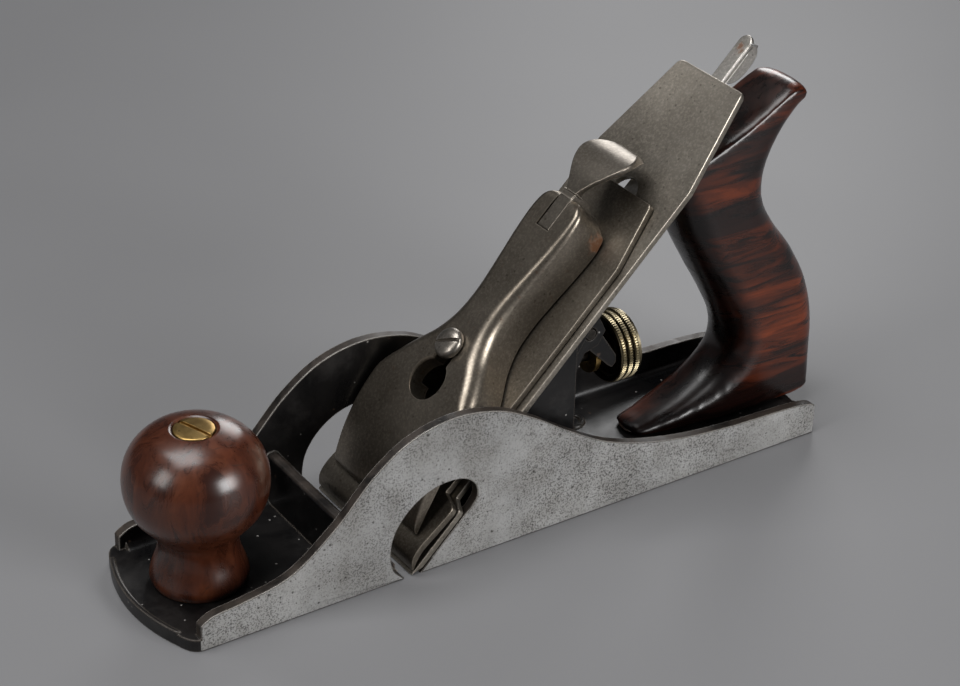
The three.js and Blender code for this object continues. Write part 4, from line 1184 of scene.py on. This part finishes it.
# %% [markdown]
# ## Floor, light and camera
# The plane stands on plain grey paper that curves up behind it. A wide soft light hangs over it, the
# strongest one stands at the right front and lights the ground cheek, and two weaker ones fill from the
# left and from behind. Soft wide lights are what steel needs, because a polished surface shows the light
# itself.

# %% The paper sweep
paper = bpy.data.materials.new("grey_paper")
paper.use_nodes = True
w = Wiring(paper.node_tree)
paper_shader = paper.node_tree.nodes["Principled BSDF"]
paper_shader.inputs["Specular IOR Level"].default_value = 0.4
cloud = w.noise(w.place(), 3.0, 3.0, 0.5)
surface(w, paper_shader, w.mix(cloud, rgb(0.165, 0.165, 0.17), rgb(0.195, 0.195, 0.201)),
        w.between(cloud, 0.3, 0.7, 0.5, 0.58))
sweep = [(-2.6, 0.0), (1.2, 0.0)] + [(1.2 + 0.9 * math.sin(t), 0.9 - 0.9 * math.cos(t))
                                     for t in np.linspace(0.1, math.pi / 2, 14)] + [(2.1, 2.6)]
heading = math.radians(34.18)       # the camera looks this far round from straight across the plane
ahead, across = (math.sin(heading), math.cos(heading)), (math.cos(heading), -math.sin(heading))
points = [(a * ahead[0] + side * across[0], a * ahead[1] + side * across[1], z)
          for side in (-3.0, 3.0) for a, z in sweep]
count = len(sweep)
floor_mesh = bpy.data.meshes.new("paper_sweep")
floor_mesh.from_pydata(points, [], [[i, count + i, count + i + 1, i + 1] for i in range(count - 1)])
floor_mesh.materials.append(paper)
floor_mesh.polygons.foreach_set("use_smooth", [True] * (count - 1))
floor = bpy.data.objects.new("paper_sweep", floor_mesh)
bpy.context.scene.collection.objects.link(floor)


# %% Soft lights
def soft_light(name, place, aim, size, power, tint=(1.0, 1.0, 1.0)):
    lamp = bpy.data.lights.new(name, "AREA")
    lamp.shape, lamp.size, lamp.size_y = "RECTANGLE", size[0], size[1]
    lamp.energy, lamp.color = power, tint
    holder = bpy.data.objects.new(name, lamp)
    holder.location = place
    holder.rotation_euler = (Vector(aim) - Vector(place)).to_track_quat("-Z", "Y").to_euler()
    bpy.context.scene.collection.objects.link(holder)


CENTRE = (0.0, 0.0, 0.05)
soft_light("overhead", (-0.25, 0.1, 1.05), CENTRE, (0.75, 0.6), 9.0)
soft_light("left_front", (-1.0, -0.05, 0.6), CENTRE, (0.35, 0.5), 3.5, (1.0, 0.985, 0.96))
soft_light("right_front", (0.45, -1.15, 0.5), CENTRE, (0.6, 0.5), 12.5)
soft_light("behind", (0.7, 0.75, 0.5), (0.05, 0, 0.06), (0.4, 0.4), 3.0)
world = bpy.data.worlds.new("room")
world.use_nodes = True
world.node_tree.nodes["Background"].inputs["Color"].default_value = rgb(0.55, 0.56, 0.58)
world.node_tree.nodes["Background"].inputs["Strength"].default_value = 0.12
bpy.context.scene.world = world

# %% The camera
HEADING, DIP, TILT = 34.18, 30.13, -1.565       # degrees: round, down, and the horizon's lean
a, e = math.radians(HEADING), math.radians(DIP)
forward = Vector((math.sin(a) * math.cos(e), math.cos(a) * math.cos(e), -math.sin(e)))
right = forward.cross(Vector((0, 0, 1))).normalized()
upward = right.cross(forward)
lens = bpy.data.cameras.new("camera")
lens.lens, lens.sensor_width = 92.1, 36.0
camera = bpy.data.objects.new("camera", lens)
facing = Matrix((right, upward, -forward)).transposed()
camera.rotation_euler = (Matrix.Rotation(math.radians(TILT), 3, forward) @ facing).to_euler()
camera.location = (-0.3511, -0.5187, 0.4168)
bpy.context.scene.collection.objects.link(camera)
bpy.context.scene.camera = camera
bpy.context.scene.view_settings.view_transform = "Standard"

# %% [markdown]
# ## Triangles
# Last, the triangles of the finished pieces are counted. Each piece was already kept inside the box of the
# imported pieces it stands for.

# %% Count the triangles
print("triangles:", sum(len(p.data.loop_triangles) or len(p.data.polygons) for p in PIECES))
